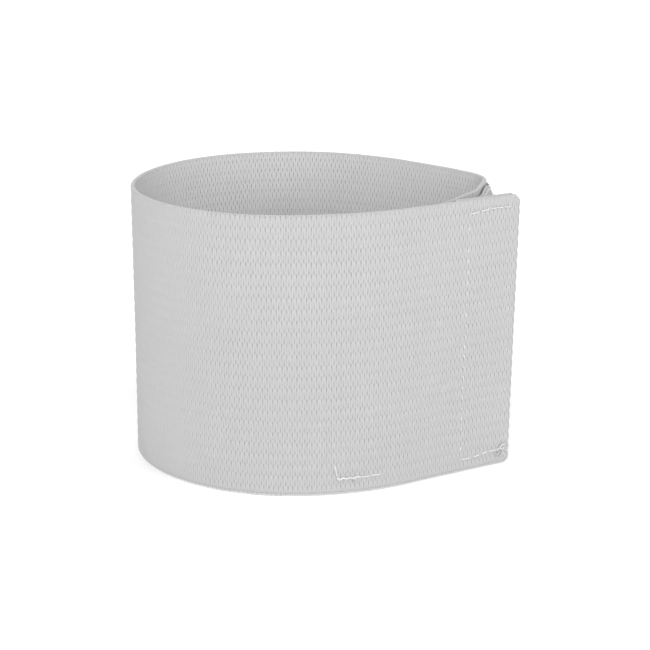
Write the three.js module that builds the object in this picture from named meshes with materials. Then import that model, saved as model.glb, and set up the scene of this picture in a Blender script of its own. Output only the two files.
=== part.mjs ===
// A wide woven elastic wrap band for the wrist or arm, closed with hook-and-loop patches.
// Millimetres, +Z up. The band stands on its lower selvedge with the flap at the front right.
// The origin is on the ground, under the middle of the band's box.
import * as THREE from "three";

// ---------------------------------------------------------------- driving dimensions, mm
const BAND_HEIGHT = 70; // width of the webbing, upright here
const ELASTIC_THICKNESS = 1.2;

// The loop seen from above. Each value describes the band's outer face.
const HALF_DEPTH = 33.4; // from the middle to the front and to the back
const LEFT_REACH = 40; // from the deepest place to the left end
const DEEPEST_X = -7;
const FRONT_BEND_RADIUS = 64;
const FLAP_HEADING = 27; // degrees the flap points away behind the front
const FLAP_STRAIGHT = 29.2; // straight length that ends at the flap's fold
const BACK_BEND_RADIUS = 48;
const BACK_HEADING = 141.5; // degrees, direction of the straight run behind the turn
const TURN_REACH_X = 41.9; // how far right the turn reaches
const TURN_BACK_RADIUS = 7.7;
const TURN_HEADING = 73; // degrees, direction of the short side between the turn's two bends
const TURN_FRONT_RADIUS = 5;
const UNDERLAP_PARTING_RADIUS = 30; // bend where the underlap leaves the flap to pass the tip patch

// Patches, measured along the band. The flap's lengths are counted back from its fold.
const HOOK_TAPE_THICKNESS = 1;
const LOOP_TAPE_THICKNESS = 1.4;
const TIP_PATCH_EDGE = 1; // from the fold to the tip patch
const TIP_PATCH_WIDTH = 14.7;
const HEM_LENGTH = 17;
const BASE_PATCH_EDGE = 33.5;
const BASE_PATCH_WIDTH = 16;
const LOOP_PATCH_EDGE = 1; // from the band's inner end to the loop patch
const LOOP_PATCH_LENGTH = 60;
const PATCH_MARGIN = 1.6; // each patch ends this far inside the band's long edges

// Where the flap bends when it is peeled open, counted back from its fold
const TIP_HINGE = 25;
const BASE_HINGE = 51.5;
const UNDERLAP_END = 53; // the band's inner end lies behind this place on the flap

// Seams
const THREAD_RADIUS = 0.2;
const SEAM_INSET = 1.2; // from a patch's edge to its seam
const SEAM_CORNER_RADIUS = 0.8;
const SEAM_OPENING = 1.6; // between the seam's first and last stitch
const SEAM_TAIL = 2.4; // loose end of the needle thread
const FLAP_SEAM_ROWS = { low: 4, high: 3 }; // from the band's long edges to a hook patch's seam rows
const LOOP_SEAM_ROWS = { low: 2.8, high: 2.4 };

// Clearances
const CLOTH_GAP = 0.3; // between layers that are sewn together
const GRIP_GAP = 1.2; // the depth that the meshed hooks and loops fill
const THREAD_GAP = 0.12;
const BEND_GAP = 0.3; // between two stretches of band that turn against each other

// Depths below the flap's outer face, and how far a seam's thread stands off the cloth
const SEAM_HEIGHT = THREAD_GAP + 2 * THREAD_RADIUS;
const basePatchDepth = ELASTIC_THICKNESS + CLOTH_GAP;
const tipPatchDepth = 2 * (ELASTIC_THICKNESS + CLOTH_GAP);

// Fineness of the curves
const BAND_STEP = 1.4;
const SHORTEST_RUN = 0.01; // a run shorter than this adds no point
const FOLD_SEGMENTS = 8;
const THREAD_SIDES = 6;
const THREAD_STEP = 1.8;

// ---------------------------------------------------------------- materials
const COLOURS = { elastic: 0xcfcfcf, hook: 0xc4c4c6, loop: 0xb9b9ba, thread: 0xf2f2f0 };

function cloth(colour, roughness) {
  return new THREE.MeshStandardMaterial({ color: colour, roughness, metalness: 0 });
}

const elasticMaterial = cloth(COLOURS.elastic, 0.85);
const hookMaterial = cloth(COLOURS.hook, 0.6);
const loopMaterial = cloth(COLOURS.loop, 0.95);
const threadMaterial = cloth(COLOURS.thread, 0.7);

// ---------------------------------------------------------------- the band's outer face from above
const radians = THREE.MathUtils.degToRad;

/** A unit vector along a heading in degrees. */
function along(heading) {
  return new THREE.Vector2(Math.cos(radians(heading)), Math.sin(radians(heading)));
}

/** The point that lies `distance` to the right of `point` when facing along `heading`. */
function rightOf(point, heading, distance) {
  return along(heading - 90).multiplyScalar(distance).add(point);
}

/** The heading of the straight run that leaves a left-hand bend and keeps a corner `clearance` to its right. */
function headingPast(centre, radius, corner, clearance) {
  const reach = corner.clone().sub(centre);
  return THREE.MathUtils.radToDeg(reach.angle() + Math.asin((radius + clearance) / reach.length()));
}

/** Where two straight lines cross. Each line is a point and a heading. */
function crossing(pointA, headingA, pointB, headingB) {
  const a = along(headingA);
  const b = along(headingB);
  const between = pointB.clone().sub(pointA);
  return a.multiplyScalar(between.cross(b) / a.cross(b)).add(pointA);
}

/** The band's outer face from its inner end, anticlockwise round the loop, to the flap's fold. */
function drawBandFace() {
  const frontCentre = new THREE.Vector2(DEEPEST_X, FRONT_BEND_RADIUS - HALF_DEPTH);
  const flapStart = rightOf(frontCentre, FLAP_HEADING, FRONT_BEND_RADIUS);
  const fold = along(FLAP_HEADING).multiplyScalar(FLAP_STRAIGHT).add(flapStart);
  const headingOnFrontBend = (fromFold) => (
    FLAP_HEADING - THREE.MathUtils.radToDeg((fromFold - FLAP_STRAIGHT) / FRONT_BEND_RADIUS)
  );

  // The underlap runs inside the flap, grips the base patch, then bends away to pass the tip patch.
  const gripStack = basePatchDepth + HOOK_TAPE_THICKNESS + GRIP_GAP + LOOP_TAPE_THICKNESS + CLOTH_GAP;
  const underlapRadius = FRONT_BEND_RADIUS - gripStack;
  const partingHeading = headingOnFrontBend(BASE_PATCH_EDGE);
  const partingCentre = rightOf(frontCentre, partingHeading, underlapRadius - UNDERLAP_PARTING_RADIUS);
  const tipPatchCorner = rightOf(
    along(FLAP_HEADING).multiplyScalar(-TIP_PATCH_EDGE - TIP_PATCH_WIDTH).add(fold),
    FLAP_HEADING,
    -tipPatchDepth - HOOK_TAPE_THICKNESS - SEAM_HEIGHT,
  );
  const passingClearance = CLOTH_GAP + SEAM_HEIGHT + LOOP_TAPE_THICKNESS + CLOTH_GAP;
  const underlapHeading = headingPast(
    partingCentre, UNDERLAP_PARTING_RADIUS, tipPatchCorner, passingClearance,
  );
  const partingEnd = rightOf(partingCentre, underlapHeading, UNDERLAP_PARTING_RADIUS);

  const backCentre = new THREE.Vector2(DEEPEST_X, HALF_DEPTH - BACK_BEND_RADIUS);
  const backStart = rightOf(backCentre, BACK_HEADING, BACK_BEND_RADIUS);

  // The turn's far bend touches the back's straight run and reaches TURN_REACH_X.
  const turnBackCentre = crossing(
    rightOf(backStart, BACK_HEADING, -TURN_BACK_RADIUS), BACK_HEADING,
    new THREE.Vector2(TURN_REACH_X - TURN_BACK_RADIUS, 0), 90,
  );
  const turnSideEnd = rightOf(turnBackCentre, TURN_HEADING, TURN_BACK_RADIUS);

  // The turn's near bend touches the underlap's straight run and the turn's short side.
  const turnFrontCentre = crossing(
    rightOf(partingEnd, underlapHeading, -TURN_FRONT_RADIUS), underlapHeading,
    rightOf(turnSideEnd, TURN_HEADING, -TURN_FRONT_RADIUS), TURN_HEADING,
  );

  const face = new THREE.Path();
  const bend = (centre, radius, fromHeading, toHeading) => {
    face.absarc(centre.x, centre.y, radius, radians(fromHeading - 90), radians(toHeading - 90), false);
  };
  bend(frontCentre, underlapRadius, headingOnFrontBend(UNDERLAP_END), partingHeading);
  bend(partingCentre, UNDERLAP_PARTING_RADIUS, partingHeading, underlapHeading);
  bend(turnFrontCentre, TURN_FRONT_RADIUS, underlapHeading, TURN_HEADING);
  bend(turnBackCentre, TURN_BACK_RADIUS, TURN_HEADING, BACK_HEADING);
  bend(backCentre, BACK_BEND_RADIUS, BACK_HEADING, 180);
  face.absellipse(DEEPEST_X, 0, LEFT_REACH, HALF_DEPTH, radians(90), radians(270), false);
  bend(frontCentre, FRONT_BEND_RADIUS, 0, FLAP_HEADING);
  face.lineTo(fold.x, fold.y);
  return face;
}

const bandFace = drawBandFace();
const bandLength = bandFace.getLength();
const curveEnds = bandFace.getCurveLengths();

/** The plan point at `distance` along the band and `depth` inside its outer face. */
function facePoint(distance, depth) {
  const share = THREE.MathUtils.clamp(distance / bandLength, 0, 1);
  const tangent = bandFace.getTangent(share);
  return bandFace.getPoint(share).add(new THREE.Vector2(-tangent.y, tangent.x).multiplyScalar(depth));
}

/** Distances along the band where its outline needs a point: the ends of straight runs, and steps on bends. */
function stations(start, end) {
  const list = [start];
  let curveStart = 0;
  bandFace.curves.forEach((curve, i) => {
    const from = Math.max(start, curveStart);
    const length = Math.min(end, curveEnds[i]) - from;
    const steps = curve instanceof THREE.LineCurve ? 1 : Math.ceil(length / BAND_STEP);
    for (let step = 1; length > SHORTEST_RUN && step <= steps; step += 1) {
      list.push(from + (length * step) / steps);
    }
    curveStart = curveEnds[i];
  });
  return list;
}

/** Plan points along the band at one depth, in either direction. */
function faceLine(start, end, depth) {
  const distances = stations(Math.min(start, end), Math.max(start, end));
  const ordered = start < end ? distances : distances.reverse();
  return ordered.map((distance) => facePoint(distance, depth));
}

/** Stands an outline seen from above up into a solid between two heights. */
function upright(outline, bottom, top) {
  const geometry = new THREE.ExtrudeGeometry(new THREE.Shape(outline), {
    depth: top - bottom,
    bevelEnabled: false,
  });
  return geometry.translate(0, 0, bottom);
}

/** A flat layer that follows the band from `start` to `end`, between two depths. */
function layer(start, end, outerDepth, thickness, margin = 0) {
  const outline = [
    ...faceLine(start, end, outerDepth),
    ...faceLine(end, start, outerDepth + thickness),
  ];
  return upright(outline, margin, BAND_HEIGHT - margin);
}

// ---------------------------------------------------------------- the strip of elastic
const baseHinge = bandLength - BASE_HINGE;
const tipHinge = bandLength - TIP_HINGE;

/** The flap's last stretch, with its end folded inwards into a hem. */
function tipBand() {
  const start = tipHinge + BEND_GAP / 2;
  const innerFoldRadius = CLOTH_GAP / 2;
  const outerFoldRadius = ELASTIC_THICKNESS + innerFoldRadius;
  const foldStart = bandLength - outerFoldRadius;
  const hemEnd = bandLength - HEM_LENGTH;
  const foldCentre = facePoint(foldStart, outerFoldRadius);
  const foldArc = (radius) => Array.from({ length: FOLD_SEGMENTS - 1 }, (_, i) => (
    rightOf(foldCentre, FLAP_HEADING + (180 * (i + 1)) / FOLD_SEGMENTS, radius)
  ));
  const outline = [
    ...faceLine(start, foldStart, 0),
    ...foldArc(outerFoldRadius),
    ...faceLine(foldStart, hemEnd, 2 * outerFoldRadius),
    ...faceLine(hemEnd, foldStart, 2 * outerFoldRadius - ELASTIC_THICKNESS),
    ...foldArc(innerFoldRadius).reverse(),
    ...faceLine(foldStart, start, ELASTIC_THICKNESS),
  ];
  return upright(outline, 0, BAND_HEIGHT);
}

// ---------------------------------------------------------------- seams
/** A thread's centre line: a rounded rectangle of stitches laid on the band at one depth. */
class SeamCurve extends THREE.Curve {
  constructor(start, end, rows, depth, tail) {
    super();
    this.depth = depth;
    this.flat = new THREE.Path();
    const low = rows.low;
    const high = BAND_HEIGHT - rows.high;
    const r = SEAM_CORNER_RADIUS;
    this.flat.moveTo(end - SEAM_OPENING - tail, low + SEAM_OPENING);
    this.flat.lineTo(end - SEAM_OPENING, low);
    this.flat.absarc(start + r, low + r, r, radians(270), radians(180), true);
    this.flat.absarc(start + r, high - r, r, radians(180), radians(90), true);
    this.flat.absarc(end - r, high - r, r, radians(90), 0, true);
    this.flat.lineTo(end, low + SEAM_OPENING);
  }

  getPoint(share) {
    const { x: distance, y: height } = this.flat.getPoint(share);
    const plan = facePoint(distance, this.depth);
    return new THREE.Vector3(plan.x, plan.y, height);
  }
}

/** A round thread along a rectangle of stitches. */
function seam(patch, rows, depth, tail) {
  const curve = new SeamCurve(patch.start + SEAM_INSET, patch.end - SEAM_INSET, rows, depth, tail);
  const section = new THREE.Shape().absarc(0, 0, THREAD_RADIUS, 0, 2 * Math.PI, false);
  return new THREE.ExtrudeGeometry(section, {
    steps: Math.ceil(curve.flat.getLength() / THREAD_STEP),
    curveSegments: THREAD_SIDES / 2,
    extrudePath: curve,
  });
}

// ---------------------------------------------------------------- the pieces
const assembly = new THREE.Group();

function add(name, geometry, material) {
  const mesh = new THREE.Mesh(geometry, material);
  mesh.name = name;
  assembly.add(mesh);
}

add("band_loop", layer(0, baseHinge - BEND_GAP / 2, 0, ELASTIC_THICKNESS), elasticMaterial);
add("flap_base_band",
  layer(baseHinge + BEND_GAP / 2, tipHinge - BEND_GAP / 2, 0, ELASTIC_THICKNESS), elasticMaterial);
add("flap_tip_band", tipBand(), elasticMaterial);

/**
 * A patch and the two threads of its seam. The needle thread lies on the band's outer side and the
 * bobbin thread on its inner side. `clothFaces` are the depths of the outermost and innermost faces
 * that the seam goes through.
 */
function addPatch(name, patch, clothFaces, rows, material) {
  const threadOffset = THREAD_GAP + THREAD_RADIUS;
  add(`${name}_patch`, layer(patch.start, patch.end, patch.depth, patch.thickness, PATCH_MARGIN), material);
  add(`${name}_needle_thread`,
    seam(patch, rows, clothFaces.outer - threadOffset, SEAM_TAIL), threadMaterial);
  add(`${name}_bobbin_thread`, seam(patch, rows, clothFaces.inner + threadOffset, 0), threadMaterial);
}

const tipPatch = {
  start: bandLength - TIP_PATCH_EDGE - TIP_PATCH_WIDTH,
  end: bandLength - TIP_PATCH_EDGE,
  depth: tipPatchDepth,
  thickness: HOOK_TAPE_THICKNESS,
};
const basePatch = {
  start: bandLength - BASE_PATCH_EDGE - BASE_PATCH_WIDTH,
  end: bandLength - BASE_PATCH_EDGE,
  depth: basePatchDepth,
  thickness: HOOK_TAPE_THICKNESS,
};
const loopPatch = {
  start: LOOP_PATCH_EDGE,
  end: LOOP_PATCH_EDGE + LOOP_PATCH_LENGTH,
  depth: -CLOTH_GAP - LOOP_TAPE_THICKNESS,
  thickness: LOOP_TAPE_THICKNESS,
};

addPatch("tip_hook", tipPatch, { outer: 0, inner: tipPatch.depth + tipPatch.thickness },
  FLAP_SEAM_ROWS, hookMaterial);
addPatch("base_hook", basePatch, { outer: 0, inner: basePatch.depth + basePatch.thickness },
  FLAP_SEAM_ROWS, hookMaterial);
addPatch("underlap_loop", loopPatch, { outer: loopPatch.depth, inner: ELASTIC_THICKNESS },
  LOOP_SEAM_ROWS, loopMaterial);

const middle = new THREE.Box3().setFromObject(assembly).getCenter(new THREE.Vector3());
assembly.position.set(-middle.x, -middle.y, 0);

export default assembly;
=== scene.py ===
"""A wide woven elastic wrap band for the wrist, closed with hook-and-loop patches.

The band is one strip of ribbed elastic webbing, 70 mm wide, bent round into a loop. Its flap lies
over its inner end and grips it with two hook patches. Sizes in the classes are millimetres and
degrees, and the scene is in metres. A place on the band is given by its distance along the strip
from the inner end, its height, and its depth inside the strip's outer face.
"""

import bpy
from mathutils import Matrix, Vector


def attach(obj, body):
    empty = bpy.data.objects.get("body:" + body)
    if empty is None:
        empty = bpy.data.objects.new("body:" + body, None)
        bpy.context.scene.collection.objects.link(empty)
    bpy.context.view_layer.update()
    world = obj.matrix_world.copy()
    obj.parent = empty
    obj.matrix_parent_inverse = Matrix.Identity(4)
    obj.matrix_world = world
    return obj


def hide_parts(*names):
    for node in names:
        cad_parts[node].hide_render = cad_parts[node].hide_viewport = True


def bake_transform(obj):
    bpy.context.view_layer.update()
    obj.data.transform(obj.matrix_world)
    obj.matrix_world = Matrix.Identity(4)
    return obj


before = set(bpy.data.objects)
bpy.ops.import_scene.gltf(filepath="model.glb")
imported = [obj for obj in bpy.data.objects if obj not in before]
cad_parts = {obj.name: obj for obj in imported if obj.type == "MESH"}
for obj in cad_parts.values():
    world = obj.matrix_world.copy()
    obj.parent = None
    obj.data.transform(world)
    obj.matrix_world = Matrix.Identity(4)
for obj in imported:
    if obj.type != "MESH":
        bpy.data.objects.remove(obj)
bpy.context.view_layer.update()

import logging
import math
from dataclasses import dataclass, field
from enum import Enum, IntEnum

import bpy
import numpy as np

logging.basicConfig(level=logging.INFO, format="%(levelname)s %(message)s")
log = logging.getLogger("wrist_band")

MM = 0.001  # metres in a millimetre
STRIP_ATTRIBUTE = "strip"  # distance along the strip, height, and how open the weave is
BAKE_MAP = "OFBake"  # the map that the webbing's colours are baked to
RIB_PITCH = 2.8  # between the weave's ribs, in millimetres
SLIT_PERIOD = 1.16  # between the slits of one row, in millimetres

Colour = tuple[float, float, float, float]


class Body(Enum):
    """The moving bodies of the frame."""

    LOOP = "loop"
    FLAP_BASE = "flap_base"
    FLAP_TIP = "flap_tip"


class Face(IntEnum):
    """The material numbers of a length of webbing."""

    OUTER = 0
    INNER = 1
    UPPER_RIM = 2
    FOOT = 3


class Slot(Enum):
    """The record's material slots."""

    ELASTIC = "elastic"
    HOOK = "hook_tape"
    LOOP = "loop_tape"
    THREAD = "thread"


# ------------------------------------------------------------------ the strip's place in space
@dataclass(frozen=True)
class BandPlan:
    """Sizes of the band and its patches. Each bend is that of the strip's outer face from above.

    Attributes:
        height: Width of the webbing, which stands on its edge.
        thickness: Thickness of the webbing.
        half_depth: Half the loop's depth.
        left_reach: From the deepest place to the loop's left end.
        deepest_x: Where along X the loop is deepest.
        front_radius: Radius of the long front bend.
        flap_heading: Heading of the flap's straight end.
        flap_straight: Length of the flap's straight end.
        back_radius: Radius of the bend at the back.
        back_heading: Heading at which the back bend begins.
        turn_reach_x: How far along X the turn at the right end reaches.
        turn_back_radius: Radius of the turn's back bend.
        turn_heading: Heading between the turn's two bends.
        turn_front_radius: Radius of the turn's front bend.
        parting_radius: Radius of the bend on which the underlap parts from the flap.
        hook_tape: Thickness of hook tape with its hooks.
        loop_tape: Thickness of loop tape with its pile.
        cloth_gap: Between cloths that lie on each other.
        grip_gap: Between a hook patch and the loop patch it grips.
        seam_height: How far a seam stands off its cloth.
        tip_patch_edge: From the flap's end to the tip patch.
        tip_patch_width: Width of the tip patch.
        base_patch_edge: From the flap's end to the base patch.
        base_patch_width: Width of the base patch.
        loop_patch_edge: From the underlap's inner end to the loop patch.
        loop_patch_length: Length of the loop patch.
        patch_margin: From the webbing's edges to a patch's edges.
        hem_length: Length of the hem that is folded under the tip.
        tip_hinge: From the flap's end to the tip's hinge line.
        base_hinge: From the flap's end to the base's hinge line.
        underlap_end: From the flap's end back to the underlap's inner end.
        frame_shift: From the plan's own zero to the frame's, along X.
    """

    height: float = 70.0
    thickness: float = 1.2
    half_depth: float = 33.4
    left_reach: float = 40.0
    deepest_x: float = -7.0
    front_radius: float = 64.0
    flap_heading: float = 27.0
    flap_straight: float = 29.2
    back_radius: float = 48.0
    back_heading: float = 141.5
    turn_reach_x: float = 41.9
    turn_back_radius: float = 7.7
    turn_heading: float = 73.0
    turn_front_radius: float = 5.0
    parting_radius: float = 30.0
    hook_tape: float = 1.0
    loop_tape: float = 1.4
    cloth_gap: float = 0.3
    grip_gap: float = 1.2
    seam_height: float = 0.52
    tip_patch_edge: float = 1.0
    tip_patch_width: float = 14.7
    base_patch_edge: float = 33.5
    base_patch_width: float = 16.0
    loop_patch_edge: float = 1.0
    loop_patch_length: float = 60.0
    patch_margin: float = 1.6
    hem_length: float = 17.0
    tip_hinge: float = 25.0
    base_hinge: float = 51.5
    underlap_end: float = 53.0
    frame_shift: float = -0.3057785

    @property
    def fold_radius(self) -> float:
        """Outer radius of the fold at the flap's tip."""
        return self.thickness + self.cloth_gap / 2

    @property
    def base_patch_depth(self) -> float:
        """Depth of the base patch's outer face."""
        return self.thickness + self.cloth_gap

    @property
    def tip_patch_depth(self) -> float:
        """Depth of the tip patch's outer face, inside the hem."""
        return 2 * (self.thickness + self.cloth_gap)


def ease(share: np.ndarray) -> np.ndarray:
    """A share from 0 to 1 that begins and ends softly."""
    return share * share * (3 - 2 * share)


def unit(heading: float) -> np.ndarray:
    """A unit vector along a heading in degrees."""
    return np.array([math.cos(math.radians(heading)), math.sin(math.radians(heading))])


def right_of(point: np.ndarray, heading: float, distance: float) -> np.ndarray:
    """The point that lies a distance to the right of a point when facing along a heading."""
    return np.asarray(point, float) + unit(heading - 90) * distance


def crossing(point_a: np.ndarray, heading_a: float, point_b: np.ndarray, heading_b: float) -> np.ndarray:
    """Where two straight lines cross.

    Args:
        point_a: A point on the first line.
        heading_a: The first line's heading in degrees.
        point_b: A point on the second line.
        heading_b: The second line's heading in degrees.

    Returns:
        The crossing point.
    """
    a, b = unit(heading_a), unit(heading_b)
    between = np.asarray(point_b, float) - point_a
    share = (between[0] * b[1] - between[1] * b[0]) / (a[0] * b[1] - a[1] * b[0])
    return point_a + a * share


@dataclass(frozen=True)
class Slump:
    """How the standing band leans and waves a little, as soft webbing does.

    Attributes:
        lean: How far the left end's top leans in, and its foot stands out.
        lean_from: Where along X the lean begins.
        lean_to: Where along X the lean is full.
        wave: Height of the long shallow waves in the band's wall.
        long_waves: How many long waves go round the loop, and how they lean with height.
        short_waves: The same for the shorter waves, and where they begin.
        short_share: Height of the shorter waves beside the long ones, at the upper edge.
        pinch: How far the turn's back bend is pinched in.
        pinch_at: Where along Y it is pinched most.
        pinch_reach: How far along Y the pinch reaches.
        pinch_from: Where along X the pinch begins.
        pinch_run: Over what length along X it grows to its full size.
        bridge: How far the loop tape swells off the turn where the tip's hooks pull it.
        bridge_at: Where along the strip it swells most.
        bridge_reach: How far along the strip the swelling reaches.
        bridge_edge: From the band's edges to the tape's edges, which stay down.
        bridge_slope: Height over which the swelling grows from the tape's edges.
        bridge_face: Depth beyond which the tape's outer face follows the swelling.
        bridge_lift: How far the tape's edges are drawn out towards the band's edges there.
        neck: How much lower the stretched underlap's upper edge is, since it grows narrower.
        neck_from: Distance along the strip at which the underlap begins to narrow.
        neck_to: Distance at which it is narrowest.
    """

    lean: float = 0.5
    lean_from: float = -20.0
    lean_to: float = -47.0
    wave: float = 0.14
    long_waves: tuple[float, float] = (3.0, 2.2)
    short_waves: tuple[float, float, float] = (7.0, -4.0, 1.0)
    short_share: float = 0.6
    pinch: float = 1.1
    pinch_at: float = 8.5
    pinch_reach: float = 5.0
    pinch_from: float = 30.0
    pinch_run: float = 8.0
    bridge: float = 3.0
    bridge_at: float = 49.5
    bridge_reach: float = 4.0
    bridge_edge: float = 1.6
    bridge_slope: float = 3.6
    bridge_face: float = 0.35
    bridge_lift: float = 1.3
    neck: float = 2.3
    neck_from: float = 46.0
    neck_to: float = 30.0

    def settle(self, points: np.ndarray, height: float) -> np.ndarray:
        """Moves points of any piece with the band's wall.

        Args:
            points: Places in millimetres, one row each.
            height: The band's height.

        Returns:
            The moved places.
        """
        x, y, z = points.T
        share = ease(np.clip((x - self.lean_from) / (self.lean_to - self.lean_from), 0, 1))
        up = z / height
        around = np.arctan2(y, x)
        turns, lean = self.long_waves
        long = np.sin(turns * around + lean * up)
        turns, lean, begin = self.short_waves
        short = self.short_share * np.sin(turns * around + lean * up + begin) * up
        wave = self.wave * (long + short)
        reach = np.maximum(np.hypot(x, y), 1.0)
        right = ease(np.clip((x - self.pinch_from) / self.pinch_run, 0, 1))
        near = np.exp(-(((y - self.pinch_at) / self.pinch_reach) ** 2)) * right
        moved = points.copy()
        moved[:, 0] = x - self.lean * (1 - 2 * up) * share + wave * x / reach - self.pinch * near
        moved[:, 1] = y + wave * y / reach
        return moved


class BandWalk:
    """Turns distances along the strip into places seen from above."""

    SAMPLE = 0.1  # between the samples on a bend

    def __init__(self, plan: BandPlan, slump: Slump, hemmed: bool) -> None:
        """Draws the outer face from the inner end, anticlockwise round the loop.

        Args:
            plan: The band's sizes.
            slump: How soft webbing leans and waves.
            hemmed: True to turn round the fold and back along the hem, False to go straight on
                to the fold's outermost place.
        """
        self.plan = plan
        self.slump = slump
        self.rows: list[np.ndarray] = []
        self._draw(hemmed)
        table = np.concatenate(self.rows)
        steps = np.hypot(*np.diff(table[:, :2], axis=0).T)
        self.distance = np.concatenate([[0.0], np.cumsum(steps)])
        self.table = table
        self.length = float(self.distance[-1])

    def _bend(self, centre: np.ndarray, radii: tuple[float, float], start: float, end: float) -> None:
        """Adds a left-hand bend, as an arc or part of an ellipse.

        Args:
            centre: The bend's centre.
            radii: Its radii along X and Y.
            start: The heading at which it begins, in degrees.
            end: The heading at which it ends.
        """
        count = max(3, int(math.radians(end - start) * max(radii) / self.SAMPLE))
        angle = np.radians(np.linspace(start - 90, end - 90, count))
        out = np.stack([radii[0] * np.cos(angle), radii[1] * np.sin(angle)], 1)
        inward = -np.stack([radii[1] * np.cos(angle), radii[0] * np.sin(angle)], 1)
        inward /= np.hypot(*inward.T)[:, None]
        self.rows.append(np.hstack([out + centre, inward]))

    def _line(self, point: np.ndarray, heading: float) -> None:
        """Goes straight on to a point."""
        self.rows.append(np.hstack([point, unit(heading + 90)])[None, :])

    def _draw(self, hemmed: bool) -> None:
        """Adds every bend of the strip in order.

        Args:
            hemmed: True to go on round the fold and back along the hem.
        """
        p = self.plan
        front = np.array([p.deepest_x, p.front_radius - p.half_depth])
        flap_start = right_of(front, p.flap_heading, p.front_radius)
        fold = flap_start + unit(p.flap_heading) * p.flap_straight

        def on_front(from_fold: float) -> float:
            """The heading on the front bend at a distance back from the fold."""
            return p.flap_heading - math.degrees((from_fold - p.flap_straight) / p.front_radius)

        grip = p.base_patch_depth + p.hook_tape + p.grip_gap + p.loop_tape + p.cloth_gap
        under = p.front_radius - grip
        parting = on_front(p.base_patch_edge)
        parting_centre = right_of(front, parting, under - p.parting_radius)
        corner = right_of(
            fold - unit(p.flap_heading) * (p.tip_patch_edge + p.tip_patch_width),
            p.flap_heading,
            -p.tip_patch_depth - p.hook_tape - p.seam_height,
        )
        clearance = 2 * p.cloth_gap + p.seam_height + p.loop_tape
        reach = corner - parting_centre
        under_heading = math.degrees(
            math.atan2(reach[1], reach[0]) + math.asin((p.parting_radius + clearance) / np.hypot(*reach))
        )
        parting_end = right_of(parting_centre, under_heading, p.parting_radius)
        back = np.array([p.deepest_x, p.half_depth - p.back_radius])
        back_start = right_of(back, p.back_heading, p.back_radius)
        turn_back = crossing(
            right_of(back_start, p.back_heading, -p.turn_back_radius),
            p.back_heading,
            np.array([p.turn_reach_x - p.turn_back_radius, 0.0]),
            90,
        )
        side_end = right_of(turn_back, p.turn_heading, p.turn_back_radius)
        turn_front = crossing(
            right_of(parting_end, under_heading, -p.turn_front_radius),
            under_heading,
            right_of(side_end, p.turn_heading, -p.turn_front_radius),
            p.turn_heading,
        )
        self._bend(front, (under, under), on_front(p.underlap_end), parting)
        self._bend(parting_centre, (p.parting_radius,) * 2, parting, under_heading)
        self._bend(turn_front, (p.turn_front_radius,) * 2, under_heading, p.turn_heading)
        self._bend(turn_back, (p.turn_back_radius,) * 2, p.turn_heading, p.back_heading)
        self._bend(back, (p.back_radius,) * 2, p.back_heading, 180)
        self._bend(np.array([p.deepest_x, 0.0]), (p.left_reach, p.half_depth), 180, 360)
        self._bend(front, (p.front_radius,) * 2, 0, p.flap_heading)
        if not hemmed:
            self._line(fold, p.flap_heading)
            return
        radius = p.fold_radius
        fold_start = fold - unit(p.flap_heading) * radius
        centre = right_of(fold_start, p.flap_heading, -radius)
        self._bend(centre, (radius, radius), p.flap_heading, p.flap_heading + 180)
        hem_start = right_of(centre, p.flap_heading, -radius)
        hem_end = hem_start - unit(p.flap_heading) * (p.hem_length - radius)
        self._line(hem_end, p.flap_heading + 180)

    def place(self, distance: np.ndarray, height: np.ndarray, depth: np.ndarray) -> np.ndarray:
        """The place in space of points on the strip.

        Args:
            distance: Distances along the strip.
            height: Heights above the ground.
            depth: Depths inside the outer face.

        Returns:
            Places in millimetres, one row each.
        """
        flat = [np.interp(distance, self.distance, column) for column in self.table.T]
        s = self.slump
        inside = np.minimum(height, self.plan.height - height) - s.bridge_edge
        near = np.exp(-(((distance - s.bridge_at) / s.bridge_reach) ** 2))
        outer = np.clip((-depth - s.bridge_face / 2) / s.bridge_face, 0, 1) * near
        swell = s.bridge * np.clip(inside / s.bridge_slope, 0, 1)
        height = height + s.bridge_lift * outer * (2 * height / self.plan.height - 1)
        depth = depth - swell * outer
        share = ease(np.clip((s.neck_from - distance) / (s.neck_from - s.neck_to), 0, 1))
        height = height * (1 - s.neck / self.plan.height * share)
        x = flat[0] + flat[2] * depth + self.plan.frame_shift
        y = flat[1] + flat[3] * depth
        points = np.stack([x, y, np.broadcast_to(height, x.shape)], 1)
        return self.slump.settle(points, self.plan.height)


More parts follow.
